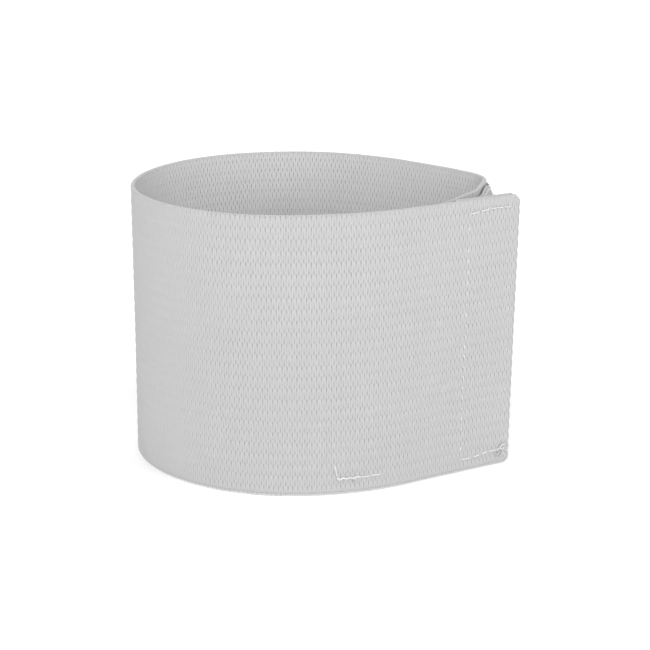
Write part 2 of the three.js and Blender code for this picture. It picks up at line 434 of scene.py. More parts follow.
# ------------------------------------------------------------------ mesh building
@dataclass
class MeshParts:
    """Vertices and faces gathered into one mesh.

    Attributes:
        points: Places in millimetres, one array for each patch of mesh.
        strip: The strip attribute's value at each place.
        quads: Faces of four corners.
        triangles: Faces of three corners.
        flat: Whether each quad is shaded flat.
        count: How many places there are so far.
    """

    points: list[np.ndarray] = field(default_factory=list)
    strip: list[np.ndarray] = field(default_factory=list)
    quads: list[np.ndarray] = field(default_factory=list)
    triangles: list[np.ndarray] = field(default_factory=list)
    flat: list[np.ndarray] = field(default_factory=list)
    count: int = 0

    def add(self, points: np.ndarray, strip: np.ndarray, quads: np.ndarray,
            triangles: np.ndarray | None = None, cut_faces: int = 0) -> None:
        """Adds a patch of mesh.

        Args:
            points: Places in millimetres.
            strip: The strip attribute's value at each place.
            quads: Four vertex numbers for each face, counted from this patch's first place.
            triangles: Three vertex numbers for each face, or None.
            cut_faces: How many of the last quads lie on a cut end, which is shaded flat.
        """
        self.points.append(points)
        self.strip.append(strip)
        self.quads.append(quads + self.count)
        self.flat.append(np.arange(len(quads)) >= len(quads) - cut_faces)
        if triangles is not None:
            self.triangles.append(triangles + self.count)
        self.count += len(points)

    def build(self, name: str, bake_uv: np.ndarray | None = None) -> bpy.types.Object:
        """Makes the object.

        Args:
            name: The piece's name.
            bake_uv: One pair for each vertex, for the map that the colours are baked to, or None.

        Returns:
            The new object, linked to the scene.
        """
        points = np.concatenate(self.points) * MM
        quads = np.concatenate(self.quads)
        triangles = np.concatenate(self.triangles) if self.triangles else np.zeros((0, 3), int)
        corners = np.concatenate([quads.ravel(), triangles.ravel()])
        sizes = np.concatenate([np.full(len(quads), 4), np.full(len(triangles), 3)])
        starts = np.concatenate([[0], np.cumsum(sizes)[:-1]])
        mesh = bpy.data.meshes.new(name)
        mesh.vertices.add(len(points))
        mesh.vertices.foreach_set("co", points.astype(np.float32).ravel())
        mesh.loops.add(len(corners))
        mesh.loops.foreach_set("vertex_index", corners.astype(np.int32))
        mesh.polygons.add(len(sizes))
        mesh.polygons.foreach_set("loop_start", starts.astype(np.int32))
        cut = np.concatenate([*self.flat, np.zeros(len(triangles), bool)])
        mesh.polygons.foreach_set("use_smooth", ~cut)
        strip = np.concatenate(self.strip).astype(np.float32)
        attribute = mesh.attributes.new(STRIP_ATTRIBUTE, "FLOAT_VECTOR", "POINT")
        attribute.data.foreach_set("vector", strip.ravel())
        if bake_uv is not None:
            layer = mesh.uv_layers.new(name=BAKE_MAP)
            layer.data.foreach_set("uv", bake_uv[corners].astype(np.float32).ravel())
        mesh.update(calc_edges=True)
        edge_of_corner = np.zeros(len(corners), np.int32)
        mesh.loops.foreach_get("edge_index", edge_of_corner)
        sharp = np.zeros(len(mesh.edges), bool)
        sharp[edge_of_corner[np.repeat(cut, sizes)]] = True
        mesh.attributes.new("sharp_edge", "BOOLEAN", "EDGE").data.foreach_set("value", sharp)
        obj = bpy.data.objects.new(name, mesh)
        bpy.context.scene.collection.objects.link(obj)
        return obj


def ring_quads(rings: int, around: int) -> np.ndarray:
    """The faces between closed rings of points that follow each other.

    Args:
        rings: How many rings there are.
        around: Points in each ring.

    Returns:
        Four point numbers for each face.
    """
    i, j = np.meshgrid(np.arange(rings - 1), np.arange(around), indexing="ij")
    k = (j + 1) % around
    quads = np.stack([i * around + j, (i + 1) * around + j, (i + 1) * around + k, i * around + k], -1)
    return quads.reshape(-1, 4)


def tube(parts: MeshParts, path: np.ndarray, radius: float, sides: int, strip: np.ndarray,
         plies: float = 0.0, twist: float = 0.0) -> None:
    """Adds a round yarn with closed ends along a path.

    Args:
        parts: The mesh to add to.
        path: The centre line, in millimetres.
        radius: The yarn's radius.
        sides: Points round the yarn.
        strip: The strip attribute's value at each point of the path.
        plies: How far a two-ply yarn's plies stand out, as a share of the radius.
        twist: Turns of the plies over the whole path.
    """
    end_size = 0.45  # of the last ring, as a share of the radius
    steep = 0.8  # above this the path counts as upright
    count = len(path)
    tangent = np.gradient(path, axis=0)
    tangent /= np.maximum(np.linalg.norm(tangent, axis=1), 1e-9)[:, None]
    up = np.array([0.0, 0.0, 1.0])
    if abs(tangent[:, 2]).mean() > steep:
        up = np.array([1.0, 0.0, 0.0])
    side = np.cross(tangent, up)
    side /= np.maximum(np.linalg.norm(side, axis=1), 1e-9)[:, None]
    over = np.cross(side, tangent)
    angle = np.linspace(0, 2 * math.pi, sides, endpoint=False)
    turn = np.linspace(0, 2 * math.pi * twist, count)[:, None]
    taper = np.ones(count)
    taper[[0, -1]] = end_size
    reach = radius * taper[:, None] * (1 + plies * np.cos(2 * (angle[None, :] - turn)))
    ring = (
        path[:, None, :]
        + side[:, None, :] * (reach * np.cos(angle))[..., None]
        + over[:, None, :] * (reach * np.sin(angle))[..., None]
    )
    points = np.concatenate([ring.reshape(-1, 3), path[:1], path[-1:]])
    j = np.arange(sides)
    k = (j + 1) % sides
    first, last = count * sides, count * sides + 1
    base = (count - 1) * sides
    triangles = np.concatenate([
        np.stack([np.full(sides, first), j, k], 1),
        np.stack([np.full(sides, last), base + k, base + j], 1),
    ])
    values = np.concatenate([np.repeat(strip, sides, axis=0), strip[:1], strip[-1:]])
    parts.add(points, values, ring_quads(count, sides), triangles)


# ------------------------------------------------------------------ shader building
Socket = bpy.types.NodeSocket
Value = Socket | float | tuple[float, ...]


class Nodes:
    """Adds and links shader nodes in one tree."""

    def __init__(self, tree: bpy.types.NodeTree) -> None:
        """Keeps the tree.

        Args:
            tree: A material's tree or a node group.
        """
        self.tree = tree

    def _feed(self, socket: Socket, value: Value) -> None:
        """Links a socket to another, or sets its value.

        Args:
            socket: The input to feed.
            value: A socket to link it to, or its value.
        """
        if isinstance(value, bpy.types.NodeSocket):
            self.tree.links.new(value, socket)
        else:
            socket.default_value = value

    def add(self, kind: str, inputs: dict[str | int, Value] | None = None,
            settings: dict[str, object] | None = None) -> bpy.types.Node:
        """Adds a node.

        Args:
            kind: The node's type name.
            inputs: Values or sockets for its inputs, by name or number.
            settings: Values for its properties.

        Returns:
            The node.
        """
        node = self.tree.nodes.new(kind)
        for name, value in (settings or {}).items():
            setattr(node, name, value)
        for name, value in (inputs or {}).items():
            self._feed(node.inputs[name], value)
        return node

    def send(self, end: bpy.types.Node, **values: Socket) -> None:
        """Links sockets to a group's outputs, by name."""
        for name, value in values.items():
            self.tree.links.new(value, end.inputs[name])

    def math(self, operation: str, *values: Value) -> Socket:
        """The result of a sum on numbers."""
        node = self.add("ShaderNodeMath", dict(enumerate(values)), {"operation": operation})
        return node.outputs[0]

    def smooth(self, value: Value, low: float, high: float) -> Socket:
        """A value turned smoothly from 0 at low to 1 at high."""
        node = self.add(
            "ShaderNodeMapRange",
            {"Value": value, "From Min": low, "From Max": high},
            {"interpolation_type": "SMOOTHSTEP"},
        )
        return node.outputs["Result"]

    def mix(self, share: Value, low: Value, high: Value) -> Socket:
        """A colour between two others."""
        node = self.add("ShaderNodeMix", {0: share, 6: low, 7: high}, {"data_type": "RGBA"})
        return node.outputs[2]

    def noise(self, vector: Socket, scale: float, detail: float = 2.0) -> Socket:
        """Soft noise from 0 to 1."""
        node = self.add("ShaderNodeTexNoise", {"Vector": vector, "Scale": scale, "Detail": detail})
        return node.outputs["Fac"]

    def group(self, group: bpy.types.NodeTree, inputs: dict[str, Value]) -> bpy.types.Node:
        """Places a node group.

        Args:
            group: The group.
            inputs: Values or sockets for its inputs, by name.

        Returns:
            The node.
        """
        node = self.tree.nodes.new("ShaderNodeGroup")
        node.node_tree = group
        for name, value in inputs.items():
            self._feed(node.inputs[name], value)
        return node


def new_group(name: str, inputs: dict[str, float | None], outputs: list[str]) -> tuple[
        bpy.types.NodeTree, Nodes, dict[str, Socket], bpy.types.Node]:
    """Starts a shader node group.

    Args:
        name: The group's name.
        inputs: Each input's first value, or None for a vector.
        outputs: Names of its outputs, all numbers.

    Returns:
        The group, its node builder, its input sockets, and its output node.
    """
    tree = bpy.data.node_groups.new(name, "ShaderNodeTree")
    for label, value in inputs.items():
        kind = "NodeSocketVector" if value is None else "NodeSocketFloat"
        socket = tree.interface.new_socket(label, in_out="INPUT", socket_type=kind)
        if value is not None:
            socket.default_value = value
    for label in outputs:
        tree.interface.new_socket(label, in_out="OUTPUT", socket_type="NodeSocketFloat")
    start = tree.nodes.new("NodeGroupInput")
    end = tree.nodes.new("NodeGroupOutput")
    return tree, Nodes(tree), {s.name: s for s in start.outputs if s.name}, end


class Effects:
    """The node groups that the finishes share. Lengths are millimetres, and scales are per millimetre."""

    WANDER_SCALE = 0.35
    WANDER_REACH = 0.5  # how far yarns wander along the strip
    UPPER_LENGTH = 0.85  # of an upper slit, as a share of a lower one's
    HALF_TURN = 0.5  # the upper row's shift beside the lower, in periods
    PATCH_SCALE = 0.08
    PATCH_RANGE = (0.25, 0.75)
    PATCH_OPENING = (0.35, 0.72)  # how much slits differ in depth by patches, and their least
    SLIT_SOFTNESS = 0.05
    LIFT_HIGHLIGHT_BELOW = (0.5, 0.6, 0.16, 0.6)  # shift, offset, half width and half length of lifted yarns, raised in the bump and given a painted highlight
    LIFT_HIGHLIGHT_ABOVE = (0.0, -0.55, 0.15, 0.5)
    YARN_HEIGHT = 0.45
    LIFT_HEIGHT = 0.3
    SLIT_DEPTH = 0.9
    GRAIN_DETAIL = 3.0
    GRAIN_ROUGHNESS = 0.6
    DRIFT_SCALE = 0.045
    DRIFT_RANGE = (0.3, 0.7)
    SPOT_SCALE = 0.6
    SPOT_RANGE = (0.52, 0.8)
    EDGE_WEAR = 0.2
    SPOT_WEAR = 0.5
    GROOVE_RANGE = (0.3, 0.05)  # from the groove's middle to where it has ended and where it is full
    UPPER_GROOVE = 0.1  # how strong the upper edge's groove is beside the lower edge's

    def __init__(self) -> None:
        """Builds each group once."""
        self.weave = self._weave()
        self.fibre = self._fibre()
        self.handling = self._handling()

    def _weave(self) -> bpy.types.NodeTree:
        """Ribbed elastic weave: pairs of staggered slit rows between ribs of plain floats.

        Returns:
            A group that puts out the slits' mask, the lifted yarns' mask, the yarns' roundness
            and the height. The materials use the masks for the bump, for painted shade in the slits and
            between yarns, and for a painted highlight on lifted yarns.
        """
        tree, n, given, end = new_group(
            "Ribbed weave",
            {"Strip": None, "Slit Period": SLIT_PERIOD, "Rib Pitch": RIB_PITCH, "Row Offset": 0.5,
             "Slit Width": 0.15, "Slit Length": 0.68, "Upper Row": 0.8},
            ["Slit", "Lift", "Yarn", "Height"],
        )
        split = n.add("ShaderNodeSeparateXYZ", {0: given["Strip"]})
        wander = n.noise(given["Strip"], self.WANDER_SCALE, 3.0)
        along = n.math("MULTIPLY_ADD", n.math("SUBTRACT", wander, 0.5), self.WANDER_REACH, split.outputs[0])
        turns = n.math("DIVIDE", along, given["Slit Period"])
        rise = n.math("FRACT", n.math("ADD", n.math("DIVIDE", split.outputs[1], given["Rib Pitch"]), 0.5))
        rise = n.math("MULTIPLY", n.math("SUBTRACT", rise, 0.5), given["Rib Pitch"])

        def across(shift: float) -> Socket:
            """Millimetres from the nearest slit of a row, given the row's shift in periods."""
            share = n.math("SUBTRACT", n.math("FRACT", n.math("ADD", turns, shift)), 0.5)
            return n.math("MULTIPLY", share, given["Slit Period"])

        def almond(shift: float, offset: Value, width: Value, length: Value) -> Socket:
            """A soft upright almond in each period of a row.

            Args:
                shift: The row's shift in periods.
                offset: How far the row lies below the rib's middle.
                width: The almond's half width.
                length: Its half length.

            Returns:
                Its mask.
            """
            a = n.math("POWER", n.math("ABSOLUTE", n.math("DIVIDE", across(shift), width)), 2.0)
            b = n.math("ABSOLUTE", n.math("DIVIDE", n.math("ADD", rise, offset), length))
            return n.smooth(n.math("ADD", a, n.math("POWER", b, 2.0)), 1.0, self.SLIT_SOFTNESS)

        lower = almond(0.0, given["Row Offset"], given["Slit Width"], given["Slit Length"])
        up = n.math("MULTIPLY", given["Row Offset"], -1.0)
        upper_length = n.math("MULTIPLY", given["Slit Length"], self.UPPER_LENGTH)
        upper = almond(self.HALF_TURN, up, given["Slit Width"], upper_length)
        slit = n.math("MAXIMUM", lower, n.math("MULTIPLY", upper, given["Upper Row"]))
        patchy = n.smooth(n.noise(given["Strip"], self.PATCH_SCALE), *self.PATCH_RANGE)
        slit = n.math("MULTIPLY", slit, n.math("MULTIPLY_ADD", patchy, *self.PATCH_OPENING))
        slit = n.math("MULTIPLY", slit, split.outputs[2])
        lift_and_highlight = n.math("MAXIMUM", almond(*self.LIFT_HIGHLIGHT_BELOW), almond(*self.LIFT_HIGHLIGHT_ABOVE))
        lift_and_highlight = n.math("MULTIPLY", lift_and_highlight, split.outputs[2])
        yarn = n.math("ABSOLUTE", n.math("SINE", n.math("MULTIPLY", turns, 2 * math.pi)))
        height = n.math("MULTIPLY_ADD", yarn, self.YARN_HEIGHT, n.math("MULTIPLY", lift_and_highlight, self.LIFT_HEIGHT))
        height = n.math("SUBTRACT", height, n.math("MULTIPLY", slit, self.SLIT_DEPTH))
        n.send(end, Slit=slit, Lift=lift_and_highlight, Yarn=yarn, Height=height)
        return tree

    def _fibre(self) -> bpy.types.NodeTree:
        """Fine fibre grain and a slow drift of tone.

        Returns:
            A group that puts out the grain, the drift and the grain's height.
        """
        tree, n, given, end = new_group(
            "Fibre grain", {"Strip": None, "Fineness": 6.0, "Stretch": 0.25}, ["Grain", "Drift", "Height"]
        )
        scale = n.add("ShaderNodeCombineXYZ", {0: 1.0, 1: given["Stretch"], 2: 0.0})
        drawn = n.add("ShaderNodeVectorMath", {0: given["Strip"], 1: scale.outputs[0]},
                      {"operation": "MULTIPLY"})
        noise = n.add("ShaderNodeTexNoise", {
            "Vector": drawn.outputs[0], "Scale": given["Fineness"], "Detail": self.GRAIN_DETAIL,
            "Roughness": self.GRAIN_ROUGHNESS,
        })
        grain = noise.outputs["Fac"]
        drift = n.noise(given["Strip"], self.DRIFT_SCALE, 3.0)
        n.send(end, Grain=grain, Drift=n.smooth(drift, *self.DRIFT_RANGE), Height=grain)
        return tree

    def _handling(self) -> bpy.types.NodeTree:
        """Lint and wear in patches and along both edges, and the groove that runs beside each edge.

        Returns:
            A group that puts out the wear's mask and the groove's mask.
        """
        tree, n, given, end = new_group(
            "Handling wear", {"Strip": None, "Band Height": 70.0, "Edge Reach": 2.2, "Groove": 0.9},
            ["Wear", "Groove"],
        )
        split = n.add("ShaderNodeSeparateXYZ", {0: given["Strip"]})
        to_top = n.math("SUBTRACT", given["Band Height"], split.outputs[1])
        to_edge = n.math("MINIMUM", split.outputs[1], to_top)
        edge = n.math("SUBTRACT", 1.0, n.math("DIVIDE", to_edge, given["Edge Reach"]))
        edge = n.math("MAXIMUM", edge, 0.0)
        spots = n.smooth(n.noise(given["Strip"], self.SPOT_SCALE, 4.0), *self.SPOT_RANGE)
        wear = n.math("MULTIPLY_ADD", edge, self.EDGE_WEAR, n.math("MULTIPLY", spots, self.SPOT_WEAR))
        beside = n.math("ABSOLUTE", n.math("SUBTRACT", to_edge, given["Groove"]))
        middle = n.math("MULTIPLY", given["Band Height"], 0.5)
        lower = n.math("LESS_THAN", split.outputs[1], middle)
        lower = n.math("MULTIPLY_ADD", lower, 1 - self.UPPER_GROOVE, self.UPPER_GROOVE)
        groove = n.math("MULTIPLY", n.smooth(beside, *self.GROOVE_RANGE), lower)
        n.send(end, Groove=groove, Wear=n.math("MINIMUM", wear, 1.0))
        return tree


@dataclass(frozen=True)
class Cloth:
    """A finish of yarn or tape.

    Attributes:
        name: The material's name.
        colour: The yarn's colour.
        shade: The colour of the painted shade deep in the weave, and the dark end of the grain and the drift.
        light: The colour of the painted highlight on lifted yarns, and of worn fibres.
        roughness: The cloth's roughness on lifted yarn.
        sheen: Strength of the soft sheen of fibre ends.
        relief: Height of the weave's bump, in millimetres.
        grain: Strength of the fibre grain in the colour.
        weave: True for the ribbed weave.
        slit_width: Half width of a slit in the weave.
        row_offset: From the middle of a pair of slit rows to either row.
        upper_row: How strong the upper row of a pair is beside the lower.
        yarn_share: How far the shade shows between yarns.
        highlight_share: How far the light colour is painted on lifted yarns as a highlight.
        slit_share: How far the shade shows in the slits.
        groove_share: How far the shade shows in the grooves beside the edges.
        groove_depth: Depth of those grooves, as a share of the relief.
        grain_height: Height of the fibre grain, as a share of the relief.
        grain_rough: How far the grain changes the roughness.
        slit_rough: How much rougher the slits are.
        drift_share: How far the tone drifts slowly along the cloth.
        wear_share: How far the light shows where the cloth is worn.
    """

    name: str
    colour: float
    shade: float
    light: float
    roughness: float = 0.8
    sheen: float = 0.12
    relief: float = 0.1
    grain: float = 0.12
    weave: bool = True
    slit_width: float = 0.13
    row_offset: float = 0.46
    upper_row: float = 0.7
    yarn_share: float = 0.42
    highlight_share: float = 0.3
    slit_share: float = 0.66
    groove_share: float = 0.4
    groove_depth: float = 0.5
    grain_height: float = 0.25
    grain_rough: float = 0.12
    slit_rough: float = 0.1
    drift_share: float = 0.05
    wear_share: float = 0.22

    @staticmethod
    def grey(value: float) -> Colour:
        """A grey with linear brightness and a trace of blue."""
        return (value, value, value * 1.004, 1.0)

    def material(self, effects: Effects) -> bpy.types.Material:
        """Builds the material.

        Args:
            effects: The shared node groups.

        Returns:
            The new material.
        """
        made = bpy.data.materials.new(self.name)
        made.use_nodes = True
        made.node_tree.nodes.clear()
        n = Nodes(made.node_tree)
        shade, light = self.grey(self.shade), self.grey(self.light)

        def tint(mask: Socket, share: float, colour: Value, other: Value) -> Socket:
            """A colour turned towards another by a share of a mask."""
            return n.mix(n.math("MULTIPLY", mask, share), colour, other)

        strip = n.add("ShaderNodeAttribute", settings={"attribute_name": STRIP_ATTRIBUTE})
        strip = strip.outputs["Vector"]
        fibre = n.group(effects.fibre, {"Strip": strip}).outputs
        handling = n.group(effects.handling, {"Strip": strip}).outputs
        colour = tint(fibre["Grain"], self.grain, self.grey(self.colour), shade)
        height = n.math("MULTIPLY", fibre["Height"], self.grain_height)
        least_rough = self.roughness - self.grain_rough / 2
        rough = n.math("MULTIPLY_ADD", fibre["Grain"], self.grain_rough, least_rough)
        if self.weave:
            cell = n.group(effects.weave, {
                "Strip": strip, "Slit Width": self.slit_width, "Row Offset": self.row_offset,
                "Upper Row": self.upper_row,
            }).outputs
            # Painted shade: the colour is darkened between the yarns, in the slits and in the grooves beside
            # the edges, where shade falls; the same masks also shape the bump.
            colour = tint(n.math("SUBTRACT", 1.0, cell["Yarn"]), self.yarn_share, colour, shade)
            # Painted highlight: the lifted yarns are painted lighter, standing in for the light they catch.
            colour = tint(cell["Lift"], self.highlight_share, colour, light)
            colour = tint(cell["Slit"], self.slit_share, colour, shade)
            colour = tint(handling["Groove"], self.groove_share, colour, shade)
            height = n.math("SUBTRACT", height, n.math("MULTIPLY", handling["Groove"], self.groove_depth))
            height = n.math("ADD", height, cell["Height"])
            rough = n.math("MULTIPLY_ADD", cell["Slit"], self.slit_rough, rough)
        colour = tint(fibre["Drift"], self.drift_share, colour, shade)
        colour = tint(handling["Wear"], self.wear_share, colour, light)
        bump = n.add("ShaderNodeBump", {"Height": height, "Strength": 1.0, "Distance": self.relief * MM})
        shader = n.add("ShaderNodeBsdfPrincipled", {
            "Base Color": colour, "Roughness": rough, "Normal": bump.outputs[0],
            "Sheen Weight": self.sheen, "Sheen Roughness": 0.5, "Specular IOR Level": 0.25,
        })
        end = n.add("ShaderNodeOutputMaterial")
        n.tree.links.new(shader.outputs[0], end.inputs["Surface"])
        return made


class Finishes:
    """Every material of the band."""

    def __init__(self) -> None:
        """Builds the materials from the shared effects. The three greys are colour, shade and light."""
        effects = Effects()
        elastic = Cloth("elastic webbing", 0.375, 0.243, 0.47)
        # Painted light: the inside face is a copy of the elastic painted much lighter, standing in for the
        # light that reaches into the loop.
        lining_painted_lighter = Cloth("elastic webbing inside, painted lighter", 0.55, 0.27, 0.65, row_offset=0.7, upper_row=0.95)
        selvedge = Cloth("upper selvedge", 0.39, 0.285, 0.45, weave=False, relief=0.05)
        # Painted light: the foot's selvedge is painted lighter than the upper one, standing in for light
        # bounced up off the floor onto the foot.
        foot = Cloth("lower selvedge, painted floor bounce", 0.56, 0.42, 0.66, weave=False, relief=0.05)
        hook_ground = Cloth("hook tape ground", 0.42, 0.30, 0.5, roughness=0.7, relief=0.08,
                            slit_width=0.12)
        hooks = Cloth("nylon hooks", 0.48, 0.36, 0.58, roughness=0.45, sheen=0.0, relief=0.02,
                      grain=0.06, weave=False)
        loop_ground = Cloth("loop tape ground", 0.37, 0.29, 0.43, roughness=0.95, relief=0.08,
                            slit_width=0.12)
        pile = Cloth("brushed loops", 0.37, 0.29, 0.43, roughness=0.9, sheen=0.3, relief=0.03,
                     grain=0.2, weave=False)
        thread = Cloth("sewing thread", 0.53, 0.44, 0.58, roughness=0.6, sheen=0.1, relief=0.03,
                       grain=0.1, weave=False)
        self.elastic = elastic.material(effects)
        self.lining_painted_lighter = lining_painted_lighter.material(effects)
        self.selvedge = selvedge.material(effects)
        self.foot = foot.material(effects)
        self.hook_ground = hook_ground.material(effects)
        self.hooks = hooks.material(effects)
        self.loop_ground = loop_ground.material(effects)
        self.pile = pile.material(effects)
        self.thread = thread.material(effects)


def dress(obj: bpy.types.Object, slot: Slot, *materials: bpy.types.Material) -> bpy.types.Object:
    """Gives a piece its materials, and reports it.

    Args:
        obj: The piece.
        slot: The record's slot; not used.
        materials: Its materials, in the order of the mesh's material numbers.

    Returns:
        The piece.
    """
    numbers = np.zeros(len(obj.data.polygons), np.int32)
    obj.data.polygons.foreach_get("material_index", numbers)
    for material in materials:
        obj.data.materials.append(material)
    obj.data.polygons.foreach_set("material_index", numbers)
    log.info("%s: %d faces, %s", obj.name, len(obj.data.polygons), materials[0].name)
    return obj


# ------------------------------------------------------------------ the strip of elastic
@dataclass
class Webbing:
    """The strip of ribbed elastic, in three lengths that meet between the hinges.

    Attributes:
        walk: The strip's way round the loop, over the fold and along the hem.
        flat: The way that ends at the fold, for places on the flap's middle line.
        rib_relief: How far the ribs stand out and sink in.
        fold_relief: The same where the strip is folded and the ribs spread.
        relief_reach: How far from the fold's outermost place the ribs spread.
        fold_bulk: How much fuller the fold is than the bare strip's bend.
        bulk_reach: How far from the fold's outermost place it is fuller.
        inner_relief: Height of the ribs on the inner face, as a share of the outer face's.
        row_step: Height of one row of faces.
        column_step: Length of one column of faces.
        fold_step: The same round the fold.
        fold_margin: How far before and after the fold the columns are close.
        rim_rows: Heights of the rows on a rounded edge, as shares of half the thickness.
        corner_drop: How far the fold's lower and upper corners are rounded off.
        corner_height: Over what height the lower and upper corners are rounded off.
        corner_reach: How far from the fold's outermost place they are rounded off.
        close_from: Where along X the outer face's slits begin to close, on the left bend.
        close_run: Over what length along X they close.
        close_share: How far they close.
        base_split: From the flap's end to where the loop's length ends, before the base hinge.
        base_zone: From the flap's end to where the bend at the base hinge begins and ends.
        tip_zone: The same at the tip hinge.
        selvedge_pitch: Between the weft loops that bind an edge.
        selvedge_radius: Radius of their yarn.
        selvedge_turn: How far round the edge a loop goes either way, in half turns.
        selvedge_inset: How far the loops' yarn lies inside the webbing's faces.
        selvedge_stray: How much the loops differ in size, and the step of that change.
        selvedge_slant: How far a loop slants along the strip.
        rim_reach: Height of the edge that is finished as selvedge.
        map_margin: Empty border of the map that the colours are baked to.
    """

    walk: BandWalk
    flat: BandWalk
    rib_relief: float = 0.05
    fold_relief: float = 0.08
    relief_reach: float = 4.5
    fold_bulk: float = 0.3
    bulk_reach: float = 3.0
    inner_relief: float = 0.4
    row_step: float = 0.4
    column_step: float = 0.82
    fold_step: float = 0.34
    fold_margin: float = 2.0
    rim_rows: tuple[float, ...] = (0.06, 0.25, 0.6)
    corner_drop: tuple[float, float] = (1.0, 1.5)
    corner_height: tuple[float, float] = (6.0, 8.0)
    corner_reach: float = 2.5
    close_from: float = -24.0
    close_run: float = 16.0
    close_share: float = 0.78
    base_split: float = 60.0
    base_zone: tuple[float, float] = (55.0, 49.6)
    tip_zone: tuple[float, float] = (30.0, 18.6)
    selvedge_pitch: float = 0.58
    selvedge_radius: float = 0.13
    selvedge_turn: float = 0.62
    selvedge_inset: float = 0.06
    selvedge_stray: tuple[float, float] = (0.02, 2.4)
    selvedge_slant: float = 0.16
    rim_reach: float = 0.3
    map_margin: float = 0.01

    @property
    def plan(self) -> BandPlan:
        """The band's sizes."""
        return self.walk.plan

    @property
    def fold_start(self) -> float:
        """Distance at which the fold begins."""
        return self.flat.length - self.plan.fold_radius

    @property
    def fold_apex(self) -> float:
        """Distance at the fold's outermost place."""
        return self.fold_start + self.plan.fold_radius * math.pi / 2

    @property
    def tip_split(self) -> float:
        """Distance at which the flap's base and tip lengths meet, midway between the hinges."""
        return self.flat.length - (self.plan.base_hinge + self.plan.tip_hinge) / 2

    def _near_fold(self, distance: np.ndarray, reach: float) -> np.ndarray:
        """From 0 away from the fold to 1 at its outermost place."""
        return ease(np.clip(1 - np.abs(distance - self.fold_apex) / reach, 0, 1))

    def _relief(self, distance: np.ndarray, height: np.ndarray) -> np.ndarray:
        """How far the ribs stand out of the cloth's face.

        Args:
            distance: Distances along the strip.
            height: Heights above the ground.

        Returns:
            The rise at each, in millimetres.
        """
        near = self._near_fold(distance, self.relief_reach)
        size = self.rib_relief + (self.fold_relief - self.rib_relief) * near
        return -size * np.cos(2 * math.pi * height / RIB_PITCH)

    def _openness(self, distance: np.ndarray) -> np.ndarray:
        """How open the outer face's slits are, since they close where the left end bends most.

        Args:
            distance: Distances along the strip.

        Returns:
            The openness at each, where 1 is fully open.
        """
        x = self.walk.place(distance, np.zeros_like(distance), np.zeros_like(distance))[:, 0]
        closed = ease(np.clip((self.close_from - x) / self.close_run, 0, 1))
        return 1 - self.close_share * closed

    def _rounded(self, distance: np.ndarray, height: np.ndarray) -> np.ndarray:
        """Pulls the fold's corners in.

        Args:
            distance: Distances along the strip.
            height: Heights before.

        Returns:
            The new heights.
        """
        near = self._near_fold(distance, self.corner_reach)
        foot_height, top_height = self.corner_height
        top = np.clip((height - self.plan.height + top_height) / top_height, 0, 1) ** 2
        foot = np.clip((foot_height - height) / foot_height, 0, 1) ** 2
        low, high = self.corner_drop
        return height - high * near * top + low * near * foot

    def _columns(self, start: float, end: float) -> np.ndarray:
        """Distances of the columns of faces, closer together round the fold.

        Args:
            start: The first distance.
            end: The last distance.

        Returns:
            Every column's distance.
        """
        fold_end = self.fold_start + self.plan.fold_radius * math.pi
        near = (self.fold_start - self.fold_margin, fold_end + self.fold_margin)
        marks = sorted({start, end, *(m for m in near if start < m < end)})
        runs = []
        for a, b in zip(marks, marks[1:]):
            step = self.fold_step if a >= near[0] and b <= near[1] else self.column_step
            runs.append(np.linspace(a, b, max(2, round((b - a) / step) + 1))[:-1])
        return np.append(np.concatenate(runs), end)

    def _length(self, name: str, start: float, end: float) -> bpy.types.Object:
        """Makes one closed length of the strip.

        Args:
            name: The piece's name.
            start: Distance at its first end.
            end: Distance at its other end.

        Returns:
            The object.
        """
        p = self.plan
        half = p.thickness / 2
        count = round((p.height - p.thickness) / self.row_step)
        body = np.linspace(half, p.height - half, count)
        rim = half * np.array(self.rim_rows)
        rows = np.concatenate([rim, body, p.height - rim[::-1]])
        to_edge = np.minimum(rows, p.height - rows)
        bulge = half * np.sqrt(1 - np.clip(1 - to_edge / half, 0, 1) ** 2)
        # The ring of one section: foot, outer face upwards, top, inner face downwards.
        ring_height = np.concatenate([[0.0], rows, [p.height], rows[::-1]])
        ring_side = np.concatenate([[0.0], -bulge, [0.0], bulge[::-1]])
        ring_relief = np.concatenate([[0.0], -bulge / half, [0.0], self.inner_relief * bulge[::-1] / half])
        columns = self._columns(start, end)
        size, around = len(columns), len(ring_height)
        distance = np.repeat(columns, around)
        height = np.tile(ring_height, size)
        relief = self._relief(distance, height) * np.tile(ring_relief, size)
        bulk = self.fold_bulk * self._near_fold(distance, self.bulk_reach)
        depth = half + np.tile(ring_side, size) + relief - bulk
        points = self.walk.place(distance, self._rounded(distance, height), depth)
        outer = np.arange(around) <= len(rows)
        openness = np.where(outer[None, :], self._openness(columns)[:, None], 1.0).ravel()
        strip = np.stack([distance, height, openness], 1)
        caps, ends = [], []
        a = np.arange(1, len(rows))
        b = around - a
        for base, flip in ((0, False), ((size - 1) * around, True)):
            cap = np.stack([a, a + 1, b - 1, b], 1) + base
            tip = np.array([[0, 1, around - 1], [len(rows), len(rows) + 1, len(rows) + 2]]) + base
            caps.append(cap[:, ::-1] if flip else cap)
            ends.append(tip[:, ::-1] if flip else tip)
        parts = MeshParts()
        parts.add(points, strip, np.concatenate([ring_quads(size, around), *caps]),
                  np.concatenate(ends), sum(len(cap) for cap in caps))
        margin = self.map_margin
        girth = np.tile(np.linspace(margin, 1 - margin, around), size)
        uv = np.stack([margin + (1 - 2 * margin) * (distance - start) / (end - start), girth], 1)
        obj = parts.build(name, uv)
        numbers = np.zeros(len(obj.data.polygons), np.int32)
        kind = np.where(outer, int(Face.OUTER), int(Face.INNER))
        kind[ring_height > p.height - self.rim_reach] = Face.UPPER_RIM
        # The foot's faces take the foot's finish, painted lighter for light bounced off the floor.
        kind[np.minimum(ring_height, np.roll(ring_height, -1)) < self.rim_reach] = Face.FOOT
        numbers[: (size - 1) * around] = np.tile(kind, size - 1)
        obj.data.polygons.foreach_set("material_index", numbers)
        return obj

